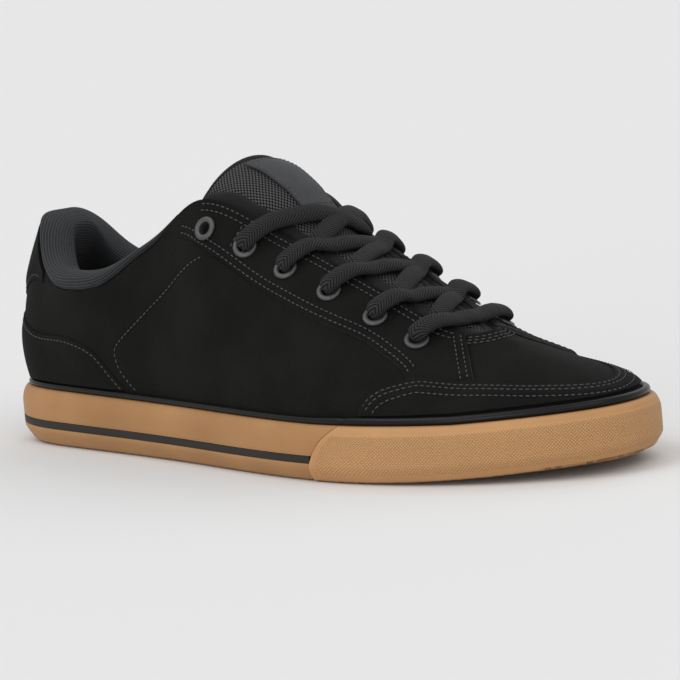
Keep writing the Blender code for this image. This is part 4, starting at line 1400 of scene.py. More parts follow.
def make_solid(
    piece: bpy.types.Object, thickness: float, inner: int = 0, rim: int = 0, bevel: float = 0.0
) -> None:
    """Give an open surface its thickness on its inner side, with rounded edges.

    Args:
        piece: The open surface.
        thickness: Thickness in metres.
        inner: Step to the inner side's material.
        rim: Step to the rim's material.
        bevel: Radius of the edges, or 0 for sharp ones.
    """
    solid = piece.modifiers.new("thickness", "SOLIDIFY")
    solid.thickness = thickness
    solid.offset = -1.0
    solid.material_offset = inner
    solid.material_offset_rim = rim
    if bevel:
        rounded = piece.modifiers.new("rounded", "BEVEL")
        rounded.width = bevel
        rounded.segments = 2
        rounded.limit_method = "ANGLE"
        rounded.angle_limit = math.radians(50.0)
    apply_modifiers(piece)


def finish_piece(piece: bpy.types.Object, angle: float = 40.0) -> bpy.types.Object:
    """Shade a piece smoothly, drop its working numbers and let it ride with the shoe.

    Args:
        piece: The piece.
        angle: Edges sharper than this many degrees stay sharp.

    Returns:
        The piece.
    """
    for label in ("column", "row"):
        if label in piece.data.attributes:
            piece.data.attributes.remove(piece.data.attributes[label])
    pick(piece)
    bpy.ops.object.shade_smooth_by_angle(angle=math.radians(angle))
    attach(piece, "root")
    log.info("%s: %d faces", piece.name, len(piece.data.polygons))
    return piece


def tube_places(
    line: np.ndarray, side: np.ndarray, up: np.ndarray, wide: np.ndarray, thick: np.ndarray, sides: int
) -> np.ndarray:
    """Places of an oval tube along a line, closed at both ends.

    Args:
        line: Points of the middle line.
        side: Unit directions of the tube's width.
        up: Unit directions of its thickness.
        wide: Widths along the line.
        thick: Thicknesses along the line.
        sides: Number of sides.

    Returns:
        Places by point, side and axis, the first and last all at the line's ends.
    """
    turns = np.linspace(0.0, 2.0 * math.pi, sides + 1)
    across = side[:, None] * np.cos(turns)[None, :, None] * wide[:, None, None] / 2.0
    rise = up[:, None] * np.sin(turns)[None, :, None] * thick[:, None, None] / 2.0
    rings = line[:, None] + across + rise
    cap = np.ones((1, sides + 1, 1))
    return np.concatenate([line[:1, None] * cap, rings, line[-1:, None] * cap])


@dataclass
class SeamRun:
    """A row of stitches along a curve on a surface."""

    points: np.ndarray
    normals: np.ndarray


@dataclass
class Stitching:
    """Sewn rows, as small raised threads."""

    pitch: float = 0.00225
    length: float = 0.0016
    width: float = 0.00052
    height: float = 0.00042
    runs: list[SeamRun] = field(default_factory=list)

    def add(self, points: np.ndarray, normals: np.ndarray) -> None:
        """Add a row along points with the surface's normals."""
        self.runs.append(SeamRun(points, normals))

    def build(self, name: str) -> bpy.types.Object:
        """Copy one thread along every row and join the copies in one piece.

        Args:
            name: The piece's name.

        Returns:
            The piece.
        """
        deselect()
        bpy.ops.mesh.primitive_uv_sphere_add(segments=6, ring_count=5, radius=0.5)
        thread = bpy.context.object
        corners = np.array([tuple(v.co) for v in thread.data.vertices])[:, [2, 0, 1]]
        corners = corners * (self.length, self.width, self.height)
        faces = [tuple(face.vertices) for face in thread.data.polygons]
        bpy.data.objects.remove(thread, do_unlink=True)
        wobble = np.random.default_rng(7)
        places, loops = [], []
        for run in self.runs:
            lengths = polyline_length(run.points)
            count = max(1, int(lengths[-1] / self.pitch))
            marks = (np.arange(count) + 0.5) * lengths[-1] / count
            tangents = np.gradient(run.points, axis=0)
            centres, along, up = (
                np.stack([np.interp(marks, lengths, table[:, axis]) for axis in range(3)], -1)
                for table in (run.points, tangents, run.normals)
            )
            along, up = unit(along), unit(up)
            aside = unit(np.cross(up, along))
            turn = wobble.normal(0.0, 0.05, count)[:, None]
            along = unit(along + aside * turn)
            aside = unit(np.cross(up, along))
            for centre, x, y, z in zip(centres, along, aside, up):
                start = len(places) * len(corners)
                places.append(centre + corners[:, :1] * x + corners[:, 1:2] * y + corners[:, 2:] * z)
                loops += [tuple(start + corner for corner in face) for face in faces]
        mesh = bpy.data.meshes.new(name)
        mesh.from_pydata(np.concatenate(places).tolist(), [], loops)
        mesh.uv_layers.new(name="UVMap")
        piece = bpy.data.objects.new(name, mesh)
        bpy.context.scene.collection.objects.link(piece)
        Finishes.THREAD.dress(piece)
        return finish_piece(piece, 80.0)


@dataclass
class SeamMap:
    """Places of all stitch rows on the upper, which press soft troughs into its panels."""

    depth: float = 0.00030
    width: float = 0.0011
    points: list[np.ndarray] = field(default_factory=list)

    def add(self, points: np.ndarray) -> None:
        """Remember a row's places, thickly spaced.

        Args:
            points: Points of the row.
        """
        lengths = polyline_length(points)
        marks = np.linspace(0.0, lengths[-1], max(2, int(lengths[-1] / 0.0005)))
        self.points.append(np.stack([np.interp(marks, lengths, points[:, k]) for k in range(3)], -1))

    def troughs(self, places: np.ndarray) -> np.ndarray:
        """Depth of the trough at each place.

        Args:
            places: Places by column, row and axis.

        Returns:
            Depths in metres, by column and row.
        """
        rows = np.concatenate(self.points)
        tree = KDTree(len(rows))
        for number, point in enumerate(rows):
            tree.insert(point, number)
        tree.balance()
        flat = places.reshape(-1, 3)
        distances = np.array([tree.find(place)[2] for place in flat])
        return (self.depth * np.exp(-((distances / self.width) ** 2))).reshape(places.shape[:2])


SEAMS = SeamMap()
STITCHES = Stitching()


def undulation(places: np.ndarray) -> np.ndarray:
    """Slight unevenness of lasted leather, in metres.

    Args:
        places: Places by column, row and axis.

    Returns:
        Heights by column and row.
    """
    x, y, z = places[..., 0], places[..., 1], places[..., 2]
    broad = np.sin(61.0 * x + 47.0 * z + 1.3) * np.sin(83.0 * z - 29.0 * y)
    narrow = np.sin(163.0 * x - 97.0 * z + 71.0 * y) * np.sin(139.0 * z + 57.0 * x + 0.7)
    return 0.00016 * broad + 0.00007 * narrow


class CreaseRow(NamedTuple):
    """A soft crease or swell on the upper: its middle, run, spread and height."""

    way: float
    level: float
    turn: float
    long: float
    wide: float
    height: float


# Creases listed one by one, with the turn in degrees and the other sizes in metres
CREASES = rows_of(
    CreaseRow,
    (0.335, 2.35, 38.0, 0.022, 0.0055, -0.0007), (0.350, 2.05, 35.0, 0.020, 0.0060, 0.0005),
    (0.230, 1.75, 8.0, 0.030, 0.0070, -0.0006), (0.790, 1.55, 80.0, 0.016, 0.0060, -0.0005),
    (0.850, 2.30, 12.0, 0.018, 0.0070, -0.0006), (0.900, 2.62, 5.0, 0.020, 0.0050, 0.0005),
    (1.665, 2.35, -38.0, 0.022, 0.0055, -0.0007), (1.770, 1.75, -8.0, 0.030, 0.0070, -0.0006),
    (1.150, 2.30, -12.0, 0.018, 0.0070, -0.0005),
)


def crease_heights(places: np.ndarray) -> np.ndarray:
    """Heights of the listed creases at places on the upper.

    Args:
        places: Places by column, row and axis.

    Returns:
        Heights by column and row.
    """
    total = np.zeros(places.shape[:2])
    for row in CREASES:
        way, level = np.array([row.way]), np.array([row.level])
        rise = SHELL.rises(way, level)
        centre = SHELL.points(way, rise)[0]
        normal = SHELL.normals(way, rise)[0]
        ahead = unit(SHELL.points(way + 0.01, rise)[0] - centre)
        up = np.cross(normal, ahead)
        turn = math.radians(row.turn)
        along = ahead * math.cos(turn) + up * math.sin(turn)
        across = np.cross(normal, along)
        offset = places - centre
        spread = (offset @ along / row.long) ** 2 + (offset @ across / row.wide) ** 2
        total += row.height * np.exp(-spread - (offset @ normal / 0.02) ** 2)
    return total


def face_grid(ways: np.ndarray, levels: np.ndarray, offset: float, relief: bool = True) -> np.ndarray:
    """Places on the upper's face for tables of ways and levels.

    Args:
        ways: Ways by column and row.
        levels: Levels by column and row.
        offset: Distance out from the face.
        relief: Whether troughs, creases and unevenness are pressed in.

    Returns:
        Places by column, row and axis.
    """
    shape = ways.shape
    flat_ways, flat_levels = ways.ravel(), levels.ravel()
    rises = SHELL.rises(flat_ways, flat_levels)
    base = SHELL.points(flat_ways, rises)
    normals = SHELL.normals(flat_ways, rises)
    below = flat_levels < 0.0
    if np.any(below):
        foot = SHELL.ring(flat_ways, SIZES.shell_inset, 0.0)
        rim = base[:, 2]
        floor = SHELL.floor_height(SHELL.outline.points(flat_ways)[:, 0]) + SIZES.clearance
        foot[:, 2] = rim + (floor - rim) * -flat_levels
        base = np.where(below[:, None], foot, base)
        normals = np.where(below[:, None], SHELL.outline.normals(flat_ways), normals)
    base = base.reshape(*shape, 3)
    normals = normals.reshape(*shape, 3)
    heights = np.full(shape, offset)
    if relief:
        fade = smooth_step(RAND_LEVEL, 0.8, levels) * (1.0 - smooth_step(2.8, 3.0, levels) * 0.7)
        heights = heights + (undulation(base) + crease_heights(base)) * fade
        heights = heights - SEAMS.troughs(base + normals * (SIZES.clearance + SIZES.overlay))
    return base + normals * heights[..., None]


def seam_curve(rows: Sequence[SeamPoint], side: Side, samples: int = 240) -> tuple[np.ndarray, np.ndarray]:
    """Smooth curve of a seam on one side.

    Args:
        rows: The seam's points on the outer side.
        side: The side of the shoe.
        samples: Number of points of the curve.

    Returns:
        Ways and rises.
    """
    table = np.array([(row.way, row.level) for row in rows])
    curve = catmull(table, np.linspace(0.0, len(rows) - 1.0, samples))
    ways = side.way(curve[:, 0])
    return ways, SHELL.rises(ways, curve[:, 1])


def sew(ways: np.ndarray, rises: np.ndarray, offset: float, start: float = 0.0, end: float = 1.0) -> None:
    """Sew a row along a curve on the upper, and press its trough.

    Args:
        ways: Ways of the curve.
        rises: Rises of the curve.
        offset: Height of the panel's face over the upper's own face.
        start: Share of the curve where the row starts.
        end: Share of the curve where it ends.
    """
    count = len(ways)
    part = slice(int(start * (count - 1)), int(end * (count - 1)) + 1)
    ways, rises = ways[part], rises[part]
    SEAMS.add(SHELL.points(ways, rises, SIZES.clearance + SIZES.overlay))
    STITCHES.add(SHELL.points(ways, rises, offset), SHELL.normals(ways, rises))


PANEL_FACE = SIZES.clearance + SIZES.overlay
SKIVE = 0.0010
SKIVE_WIDTHS = (0.0040, 0.0015)
PANEL_HOLE_MARGIN = 0.0009
PANEL_EDGE_RADIUS = 0.00022


@dataclass
class Panel:
    """A nubuck overlay on the upper, between two edges."""

    name: str
    node: str
    start: float
    end: float
    low: Sequence[SeamPoint] | float
    high: Sequence[SeamPoint] | float
    columns: int
    rows: int
    holes: bool = False

    def levels(self, edge: Sequence[SeamPoint] | float, ways: np.ndarray) -> np.ndarray:
        """Levels of an edge at ways.

        Args:
            edge: The edge's points, or one level.
            ways: Ways round.

        Returns:
            The levels.
        """
        if isinstance(edge, float):
            return np.full(len(ways), edge)
        return eased(one_sided(ways), edge, 1, flat=False)

    def build(self) -> bpy.types.Object:
        """Lay the panel on the upper and give it its thickness.

        Returns:
            The piece.
        """
        ways = np.linspace(self.start, self.end, self.columns)
        low, high = self.levels(self.low, ways), self.levels(self.high, ways)
        shares = 0.5 - 0.5 * np.cos(math.pi * np.linspace(0.0, 1.0, self.rows))
        levels = low[:, None] + (high - low)[:, None] * shares[None]
        table = np.repeat(ways[:, None], self.rows, axis=1)
        places = face_grid(table, levels, PANEL_FACE)
        plain = face_grid(table, levels, PANEL_FACE - SKIVE, relief=False)
        steps = np.linalg.norm(np.diff(places, axis=1), axis=2)
        up = np.concatenate([np.zeros((len(ways), 1)), np.cumsum(steps, axis=1)], axis=1)
        near = np.full(up.shape, 1.0)
        if not isinstance(self.low, float):
            near = np.minimum(near, up)
        if not isinstance(self.high, float):
            near = np.minimum(near, up[:, -1:] - up)
        thin = np.exp(-((near / SKIVE_WIDTHS[int(self.holes)]) ** 2))[..., None]
        piece = grid_piece(self.name, places * (1.0 - thin) + plain * thin)
        if self.holes:
            drop_faces(piece, eyelet_centres(PANEL_FACE), SIZES.eyelet_hole + PANEL_HOLE_MARGIN)
        Finishes.NUBUCK.dress(piece)
        if self.holes:
            Finishes.CUT_EDGE.add_to(piece)
        make_solid(piece, SIZES.overlay, rim=int(self.holes), bevel=PANEL_EDGE_RADIUS)
        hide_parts(self.node)
        return finish_piece(piece, 60.0)


def thinned_face(inward: float, width: float) -> float:
    """Height of a panel's face at a distance from its thinned edge."""
    return PANEL_FACE - SKIVE * math.exp(-((inward / width) ** 2))


def eyelet_centres(offset: float) -> np.ndarray:
    """Middles of all eyelets at a height over the upper's face, outer side first."""
    ways = np.array([*EYELET_WAYS, *(2.0 - np.array(EYELET_WAYS))])
    return SHELL.points(ways, SHELL.setback_rises(ways, SIZES.eyelet_setback), offset)


def sew_upper() -> None:
    """Sew every row of the upper, before its panels are laid."""
    face = SIZES.clearance * 0.5
    wide, narrow = SKIVE_WIDTHS
    for side in Side:
        flip = 1.0 if side is Side.LATERAL else -1.0
        for inward, end in ((0.0016, 0.935), (0.0041, 0.905)):
            ways, rises = seam_curve(EYESTAY_EDGE[:-2], side)
            sew(*SHELL.shifted(ways, rises, flip * inward), thinned_face(inward, narrow), 0.17, end)
        top = np.linspace(0.425, 0.80, 240)
        for inward in (0.0017, 0.0042):
            ways = side.way(top)
            sew(*SHELL.shifted(ways, np.ones(240) * 0.999, -flip * inward), PANEL_FACE, 0.0, 1.0)
        front = np.full(80, 0.833)
        levels = np.linspace(1.05, 2.9, 80)
        for inward in (0.0018, 0.0043):
            ways = side.way(front)
            sew(*SHELL.shifted(ways, SHELL.rises(ways, levels), flip * inward), PANEL_FACE, 0.04, 1.0)
        ways, rises = seam_curve(QUARTER_SEAM, side)
        sew(ways, rises, face, 0.12, 1.0)
        short = side.way(np.linspace(0.4695, 0.4735, 40))
        sew(short, SHELL.rises(short, np.linspace(2.30, 2.78, 40)), PANEL_FACE)
        ways, rises = seam_curve(COUNTER_EDGE, side)
        sew(*SHELL.shifted(ways, rises, -flip * 0.0016), thinned_face(0.0016, wide), 0.0, 0.97)
        for inward, start in ((0.0016, 0.015), (0.0036, 0.015), (0.0068, 0.035)):
            ways, rises = seam_curve(GUARD_EDGE, side, 480)
            sew(*SHELL.shifted(ways, rises, -flip * inward), thinned_face(inward, wide), start, 1.0)
        ways, rises = seam_curve(TAB_EDGE, side)
        sew(*SHELL.shifted(ways, rises, flip * 0.0016), thinned_face(0.0016, wide), 0.0, 0.9)
    throat = np.linspace(0.842, 1.158, 160)
    for below in (0.0020, 0.0036, 0.0052):
        sew(*SHELL.shifted(throat, np.ones(160) * 0.999, -below), face)


@dataclass
class UpperShell:
    """Hollow nubuck upper with its lined inside and the overlays sewn on it."""

    columns: int = 560
    rows: int = 70
    hole_margin: float = 0.0012

    def build(self) -> None:
        """Make the shell and every overlay."""
        ways = np.linspace(0.0, 2.0, self.columns + 1)
        levels = np.concatenate([[-1.0, -0.5], np.linspace(0.0, 3.0, self.rows)])
        table = np.repeat(ways[:, None], len(levels), axis=1)
        places = face_grid(table, np.repeat(levels[None], len(ways), axis=0), 0.0)
        places[-1] = places[0]
        piece = grid_piece("upper_shell", places)
        # The shell stays uncut behind the two top eyelets, so its dark face fills their holes as painted
        # shade.
        laced = np.delete(eyelet_centres(0.0), (0, len(EYELET_WAYS)), axis=0)
        drop_faces(piece, laced, SIZES.eyelet_hole + self.hole_margin)
        close_piece(piece)
        Finishes.NUBUCK.dress(piece)
        Finishes.LINING.add_to(piece)
        Finishes.CUT_EDGE.add_to(piece)
        make_solid(piece, SIZES.wall, inner=1, rim=2)
        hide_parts("upper")
        finish_piece(piece, 60.0)
        for panel in self.panels():
            panel.build()

    def panels(self) -> list[Panel]:
        """The overlays, from heel to toe.

        Returns:
            The panels.
        """
        return [
            Panel("counter_panel", "heel_counter", -0.300, 0.300, RAND_LEVEL, COUNTER_EDGE, 260, 34),
            Panel("heel_tab_panel", "heel_tab", -0.139, 0.139, TAB_EDGE, 3.0, 110, 26),
            Panel("lateral_eyestay", "eyestay_lateral", 0.361, 0.833, EYESTAY_EDGE, 3.0, 260, 44, True),
            Panel("medial_eyestay", "eyestay_medial", 1.167, 1.639, EYESTAY_EDGE, 3.0, 260, 44, True),
            Panel("toe_guard_panel", "toe_guard", 0.690, 1.310, RAND_LEVEL, GUARD_EDGE, 380, 30),
        ]


class Ridge(NamedTuple):
    """A raised or sunk line along the bumper's back edge, measured in ways from it, which also paints a
    highlight when raised and shade when sunk.
    """

    height: float
    place: float
    width: float

    def heights(self, gaps: np.ndarray) -> np.ndarray:
        """Heights of the line at gaps from the edge."""
        return self.height * np.exp(-(((gaps - self.place) / self.width) ** 2))


@dataclass
class SoleUnit:
    """Gum cup with knurled toe bumper, inlaid stripe, glossy piping and footbed."""

    columns: int = 620
    edge_curve: float = 2.4
    edge_middle: float = 0.652
    swell: Ridge = Ridge(0.45, 0.0026, 0.0022)
    groove: Ridge = Ridge(-0.50, -0.0008, 0.0007)
    foot: tuple[tuple[float, float], ...] = (
        (0.0, 1.0), (0.012, 0.80), (0.035, 0.62), (0.07, 0.49), (0.12, 0.38), (0.17, 0.24), (0.22, 0.12),
    )
    top: tuple[tuple[float, float], ...] = (
        (0.76, 0.03), (0.83, 0.14), (0.89, 0.30), (0.94, 0.50), (0.975, 0.72), (0.993, 0.90), (1.0, 1.08),
    )
    edge_gaps: tuple[float, ...] = (
        -0.0030, -0.0016, -0.0010, -0.0005, 0.0, 0.0005, 0.0010, 0.0018, 0.0028, 0.0045, 0.0060, 0.0070,
        0.0080,
    )
    under_shares: tuple[float, ...] = (1.0, 0.8, 0.6, 0.45, 0.3, 0.18, 0.08)
    stripe_gap: float = 0.0012
    stripe_play: float = 0.0001
    stripe_section: tuple[tuple[float, float], ...] = (
        (0.0, 0.0002), (0.06, 0.0), (0.94, 0.0), (1.0, 0.0002), (1.0, 0.0010), (0.0, 0.0010), (0.0, 0.0002),
    )

    def lean(self, share: float) -> float:
        """Shift of the bumper's curved back edge, as a way, at a share of the wall's height."""
        return SIZES.bumper_slant * (share ** self.edge_curve - self.edge_middle)

    def slanted(self, ways: np.ndarray, share: float) -> np.ndarray:
        """Ways that follow the back edge of the bumper at a share of the wall's height.

        Args:
            ways: Ways round.
            share: Share of the wall's height.

        Returns:
            The shifted ways.
        """
        side = np.where(ways <= 1.0, ways, 2.0 - ways)
        near = np.exp(-(((side - SIZES.bumper_back) / SIZES.bumper_blend) ** 2))
        return np.where(ways <= 1.0, ways + self.lean(share) * near, ways - self.lean(share) * near)

    def wall_rows(self) -> list[tuple[float, float, float]]:
        """Rows of the wall: height share, inset and groove share.

        Returns:
            The rows, from the ground to the rim.
        """
        low = SIZES.stripe_level / SIZES.sidewall_height
        high = low + SIZES.stripe_height / SIZES.sidewall_height
        bottom, rim = SIZES.bottom_inset, SIZES.rim_inset
        rows = [(share, inset * bottom, 0.0) for share, inset in self.foot]
        rows += [(0.27, 0.00012, 0.0), (low - 0.012, 0.0, 0.0), (low, 0.0, 0.1), (low, 0.0, 1.0)]
        rows += [((low + high) / 2.0, 0.0, 1.0), (high, 0.0, 1.0), (high, 0.0, 0.1), (high + 0.012, 0.0, 0.0)]
        rows += [(share, 0.0, 0.0) for share in (0.55, 0.62, 0.69)]
        return rows + [(share, inset * rim, 0.0) for share, inset in self.top]

    def build_cup(self) -> None:
        """Underside, wall, rim, inner wall and floor of the cup."""
        even = np.linspace(0.0, 2.0, self.columns + 1)
        back = SIZES.bumper_back
        close = np.array([back + gap for gap in self.edge_gaps])
        ways = np.unique(np.concatenate([even, close, 2.0 - close]))
        side = np.where(ways <= 1.0, ways, 2.0 - ways)
        step = smooth_step(back - 0.0002, back + 0.0013, side)
        # The swell and groove also go into the bumper attribute, painting a highlight on the lip and shade in
        # the groove.
        step = step + self.swell.heights(side - back) + self.groove.heights(side - back)
        none = np.zeros(len(ways))
        rows = []
        base = SHELL.ring(ways, SIZES.bottom_inset + SIZES.bumper_step, 0.0)
        spine = SHELL.spine(ways, SIZES.bottom_inset + SIZES.bumper_step)
        for share in self.under_shares:
            ring = base + (spine - base) * share
            ring[:, 2] = SHELL.ground_height(ring[:, 0])
            rows.append((ring, none, none))
        for share, inset, groove in self.wall_rows():
            leaning = self.slanted(ways, share)
            points = SHELL.outline.points(leaning)
            low = SHELL.ground_height(points[:, 0])
            height = low + share * (SHELL.rim_height(points[:, 0]) - low)
            raised = SIZES.bumper_step * step * float(0.0 < share < 1.0)
            depth = (SIZES.stripe_depth + SIZES.clearance) * groove * (side < back)
            ring = SHELL.ring(leaning, inset + SIZES.bumper_step - raised + depth, height)
            knurl = smooth_step(back + 0.0075, back + 0.0095, side) * float(0.13 < share < 0.88)
            rows.append((ring, knurl, step * float(0.0 < share < 1.0)))
        inner = SIZES.rim_inset + SIZES.rim_width
        x = SHELL.outline.points(ways)[:, 0]
        rim, floor = SHELL.rim_height(x), SHELL.floor_height(x)
        for share in (0.0, 0.5, 1.0):
            rows.append((SHELL.ring(ways, inner, rim + (floor - rim) * share), none, none))
        base, spine = rows[-1][0], SHELL.spine(ways, inner)
        for share in (0.3, 0.65, 1.0):
            ring = base + (spine - base) * share
            ring[:, 2] = SHELL.floor_height(ring[:, 0])
            rows.append((ring, none, none))
        places = np.stack([row[0] for row in rows], 1)
        places[-1] = places[0]
        lengths = SHELL.outline.lengths(ways) / MM
        up = places[..., 2] / MM
        piece = grid_piece("gum_cup", places, (np.repeat(lengths[:, None], places.shape[1], 1), up))
        for column, label in enumerate(("knurl", "bumper"), 1):
            set_attribute(piece, label, np.stack([row[column] for row in rows], 1))
        close_piece(piece, 2e-6)
        Finishes.GUM.dress(piece)
        tread = Finishes.TREAD.add_to(piece)
        for face in piece.data.polygons:
            if face.normal.z < -0.7:
                face.material_index = tread
        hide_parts("cupsole")
        finish_piece(piece, 50.0)

    def build_stripe(self) -> None:
        """Dark band in the wall's groove."""
        reach = SIZES.bumper_back + self.lean(SIZES.stripe_level / SIZES.sidewall_height) - self.stripe_gap
        ways = np.linspace(-reach, reach, 420)
        x = SHELL.outline.points(ways)[:, 0]
        bottom = SHELL.ground_height(x)
        wall = SHELL.rim_height(x) - bottom
        top = SIZES.stripe_level + SIZES.stripe_height
        low = bottom + SIZES.stripe_level / SIZES.sidewall_height * wall + self.stripe_play
        high = bottom + top / SIZES.sidewall_height * wall - self.stripe_play
        rings = []
        for level, inset in self.stripe_section:
            rings.append(SHELL.ring(ways, SIZES.bumper_step + inset, low + level * (high - low)))
        places = np.stack(rings, 1)
        middle = places.mean(1, keepdims=True).repeat(len(self.stripe_section), 1)
        places = np.concatenate([middle[:1], places, middle[-1:]])
        piece = grid_piece("stripe_band", places)
        close_piece(piece)
        Finishes.STRIPE.dress(piece)
        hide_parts("sidewall_stripe")
        finish_piece(piece, 50.0)

    def build_rand(self) -> None:
        """Glossy piping on the rim, fuller round the toe."""
        ways = np.linspace(0.0, 2.0, 561)
        rises = SHELL.rises(ways, np.full(len(ways), RAND_LEVEL))
        foot = SHELL.points(ways, np.zeros(len(ways)))
        up = unit(SHELL.points(ways, rises) - foot)
        normal = SHELL.outline.normals(ways)
        outward = unit(normal - up * (normal * up).sum(1)[:, None])
        side = one_sided(ways)
        radius = SIZES.rand_radius * (0.82 + 0.22 * smooth_step(0.60, 0.70, side))
        radius = radius * (1.0 - 0.10 * np.exp(-(((side - 0.675) / 0.0035) ** 2)))
        centre = foot + outward * (radius + SIZES.clearance)[:, None]
        centre[:, 2] = foot[:, 2] + radius
        turns = np.linspace(0.0, -2.0 * math.pi, 17)
        cosines, sines = np.cos(turns)[None, :, None], np.sin(turns)[None, :, None]
        ring = outward[:, None] * cosines - up[:, None] * sines * 1.1
        places = centre[:, None] + ring * radius[:, None, None]
        places[-1] = places[0]
        piece = grid_piece("rand_piping", places)
        close_piece(piece)
        Finishes.RAND.dress(piece)
        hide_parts("rand")
        finish_piece(piece, 80.0)

    def build_insole(self) -> None:
        """Footbed with a cupped heel, inside the upper."""
        ways = np.linspace(0.0, 2.0, 361)
        inset = SIZES.shell_inset + SIZES.wall + SIZES.clearance
        spine = SHELL.spine(ways, inset)
        rings = []
        for share in (1.0, 0.5):
            ring = SHELL.ring(ways, inset, 0.0)
            ring = ring + (spine - ring) * share
            ring[:, 2] = SHELL.floor_height(ring[:, 0]) + SIZES.clearance
            rings.append(ring)
        top = SIZES.insole_thickness
        edge = ((0.0, 0.7), (0.0003, 0.88), (0.0008, 0.97), (0.0014, 1.0))
        for extra, rise in ((0.0, SIZES.clearance), *((extra, top * share) for extra, share in edge)):
            ring = SHELL.ring(ways, inset + extra, 0.0)
            ring[:, 2] = SHELL.floor_height(ring[:, 0]) + rise
            rings.append(ring)
        base = rings[-1]
        for share in (0.08, 0.2, 0.35, 0.5, 0.7, 0.85, 1.0):
            ring = base + (spine - base) * share
            hollow = 0.0008 * smooth_step(0.0, 0.5, np.full(len(ways), share))
            ring[:, 2] = SHELL.floor_height(ring[:, 0]) + top - hollow
            rings.append(ring)
        places = np.stack(rings, 1)
        places[-1] = places[0]
        piece = grid_piece("footbed", places, (places[..., 0] / MM, places[..., 1] / MM))
        close_piece(piece, 2e-6)
        Finishes.INSOLE.dress(piece)
        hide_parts("insole")
        finish_piece(piece, 50.0)

    def build(self) -> None:
        """Make every piece of the sole."""
        self.build_cup()
        self.build_stripe()
        self.build_rand()
        self.build_insole()


@dataclass
class PaddedCollar:
    """Ribbed textile roll over the collar's edge and down inside it."""

    reach: float = 0.385
    columns: int = 260
    rows: int = 120
    softening: int = 60

    def build(self) -> None:
        """Sweep the roll round the heel and knit its ribs."""
        ways = np.linspace(-self.reach, self.reach, self.columns)
        side = np.abs(ways)
        rise = eased(side, PAD, 1) * SIZES.collar_rise
        pad = eased(side, PAD, 2) * SIZES.collar_pad
        inside = -(SIZES.wall + SIZES.soft_clearance)
        up = SHELL.edge_directions(ways)
        one = np.ones(len(ways))
        out = SHELL.normals(ways, one)
        lip = SHELL.points(ways, one) + up * 2.0 * SIZES.soft_clearance
        profile = []
        for row in ROLL:
            aside = inside * row.inside - pad * row.pad
            profile.append(lip + up * (rise * row.up)[:, None] + out * aside[:, None])
        for level, share in ROLL_INSIDE:
            rises = SHELL.rises(ways, np.full(len(ways), level))
            profile.append(SHELL.points(ways, rises, inside - pad * share))
        profile.append(lip + out * inside)
        table = np.stack(profile)
        count = len(table)
        steps = np.linspace(0.0, count, 6 * self.rows)
        even = catmull(table, steps, closed=True)
        middle = even[:, self.columns // 3]
        lengths = polyline_length(middle)
        marks = np.interp(np.linspace(0.0, lengths[-1], self.rows), lengths, steps)
        places = catmull(table, marks, closed=True).transpose(1, 0, 2)
        soft = (smooth_step(1.0, 2.5, marks) * (1.0 - smooth_step(8.5, 9.5, marks)))[None, :, None]
        for _ in range(self.softening):
            round_roll = (np.roll(places, 1, axis=1) + np.roll(places, -1, axis=1)) / 2.0
            blurred = places.copy()
            blurred[1:-1] = (places[:-2] + places[2:] + 2.0 * round_roll[1:-1]) / 4.0
            places = places + (blurred - places) * soft
        places[:, -1] = places[:, 0]
        centre = places.mean(1, keepdims=True).repeat(self.rows, 1)
        places = np.concatenate([centre[:1], places, centre[-1:]])
        along = SHELL.outline.lengths(ways) / MM
        along = np.concatenate([along[:1], along, along[-1:]])[:, None].repeat(self.rows, 1)
        across = np.stack([polyline_length(line) for line in places]) / MM
        across[0], across[-1] = across[1], across[-2]
        piece = grid_piece("collar_roll", places, (along, across))
        close_piece(piece)
        Finishes.RIB.dress(piece)
        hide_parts("collar_lining")
        finish_piece(piece, 80.0)


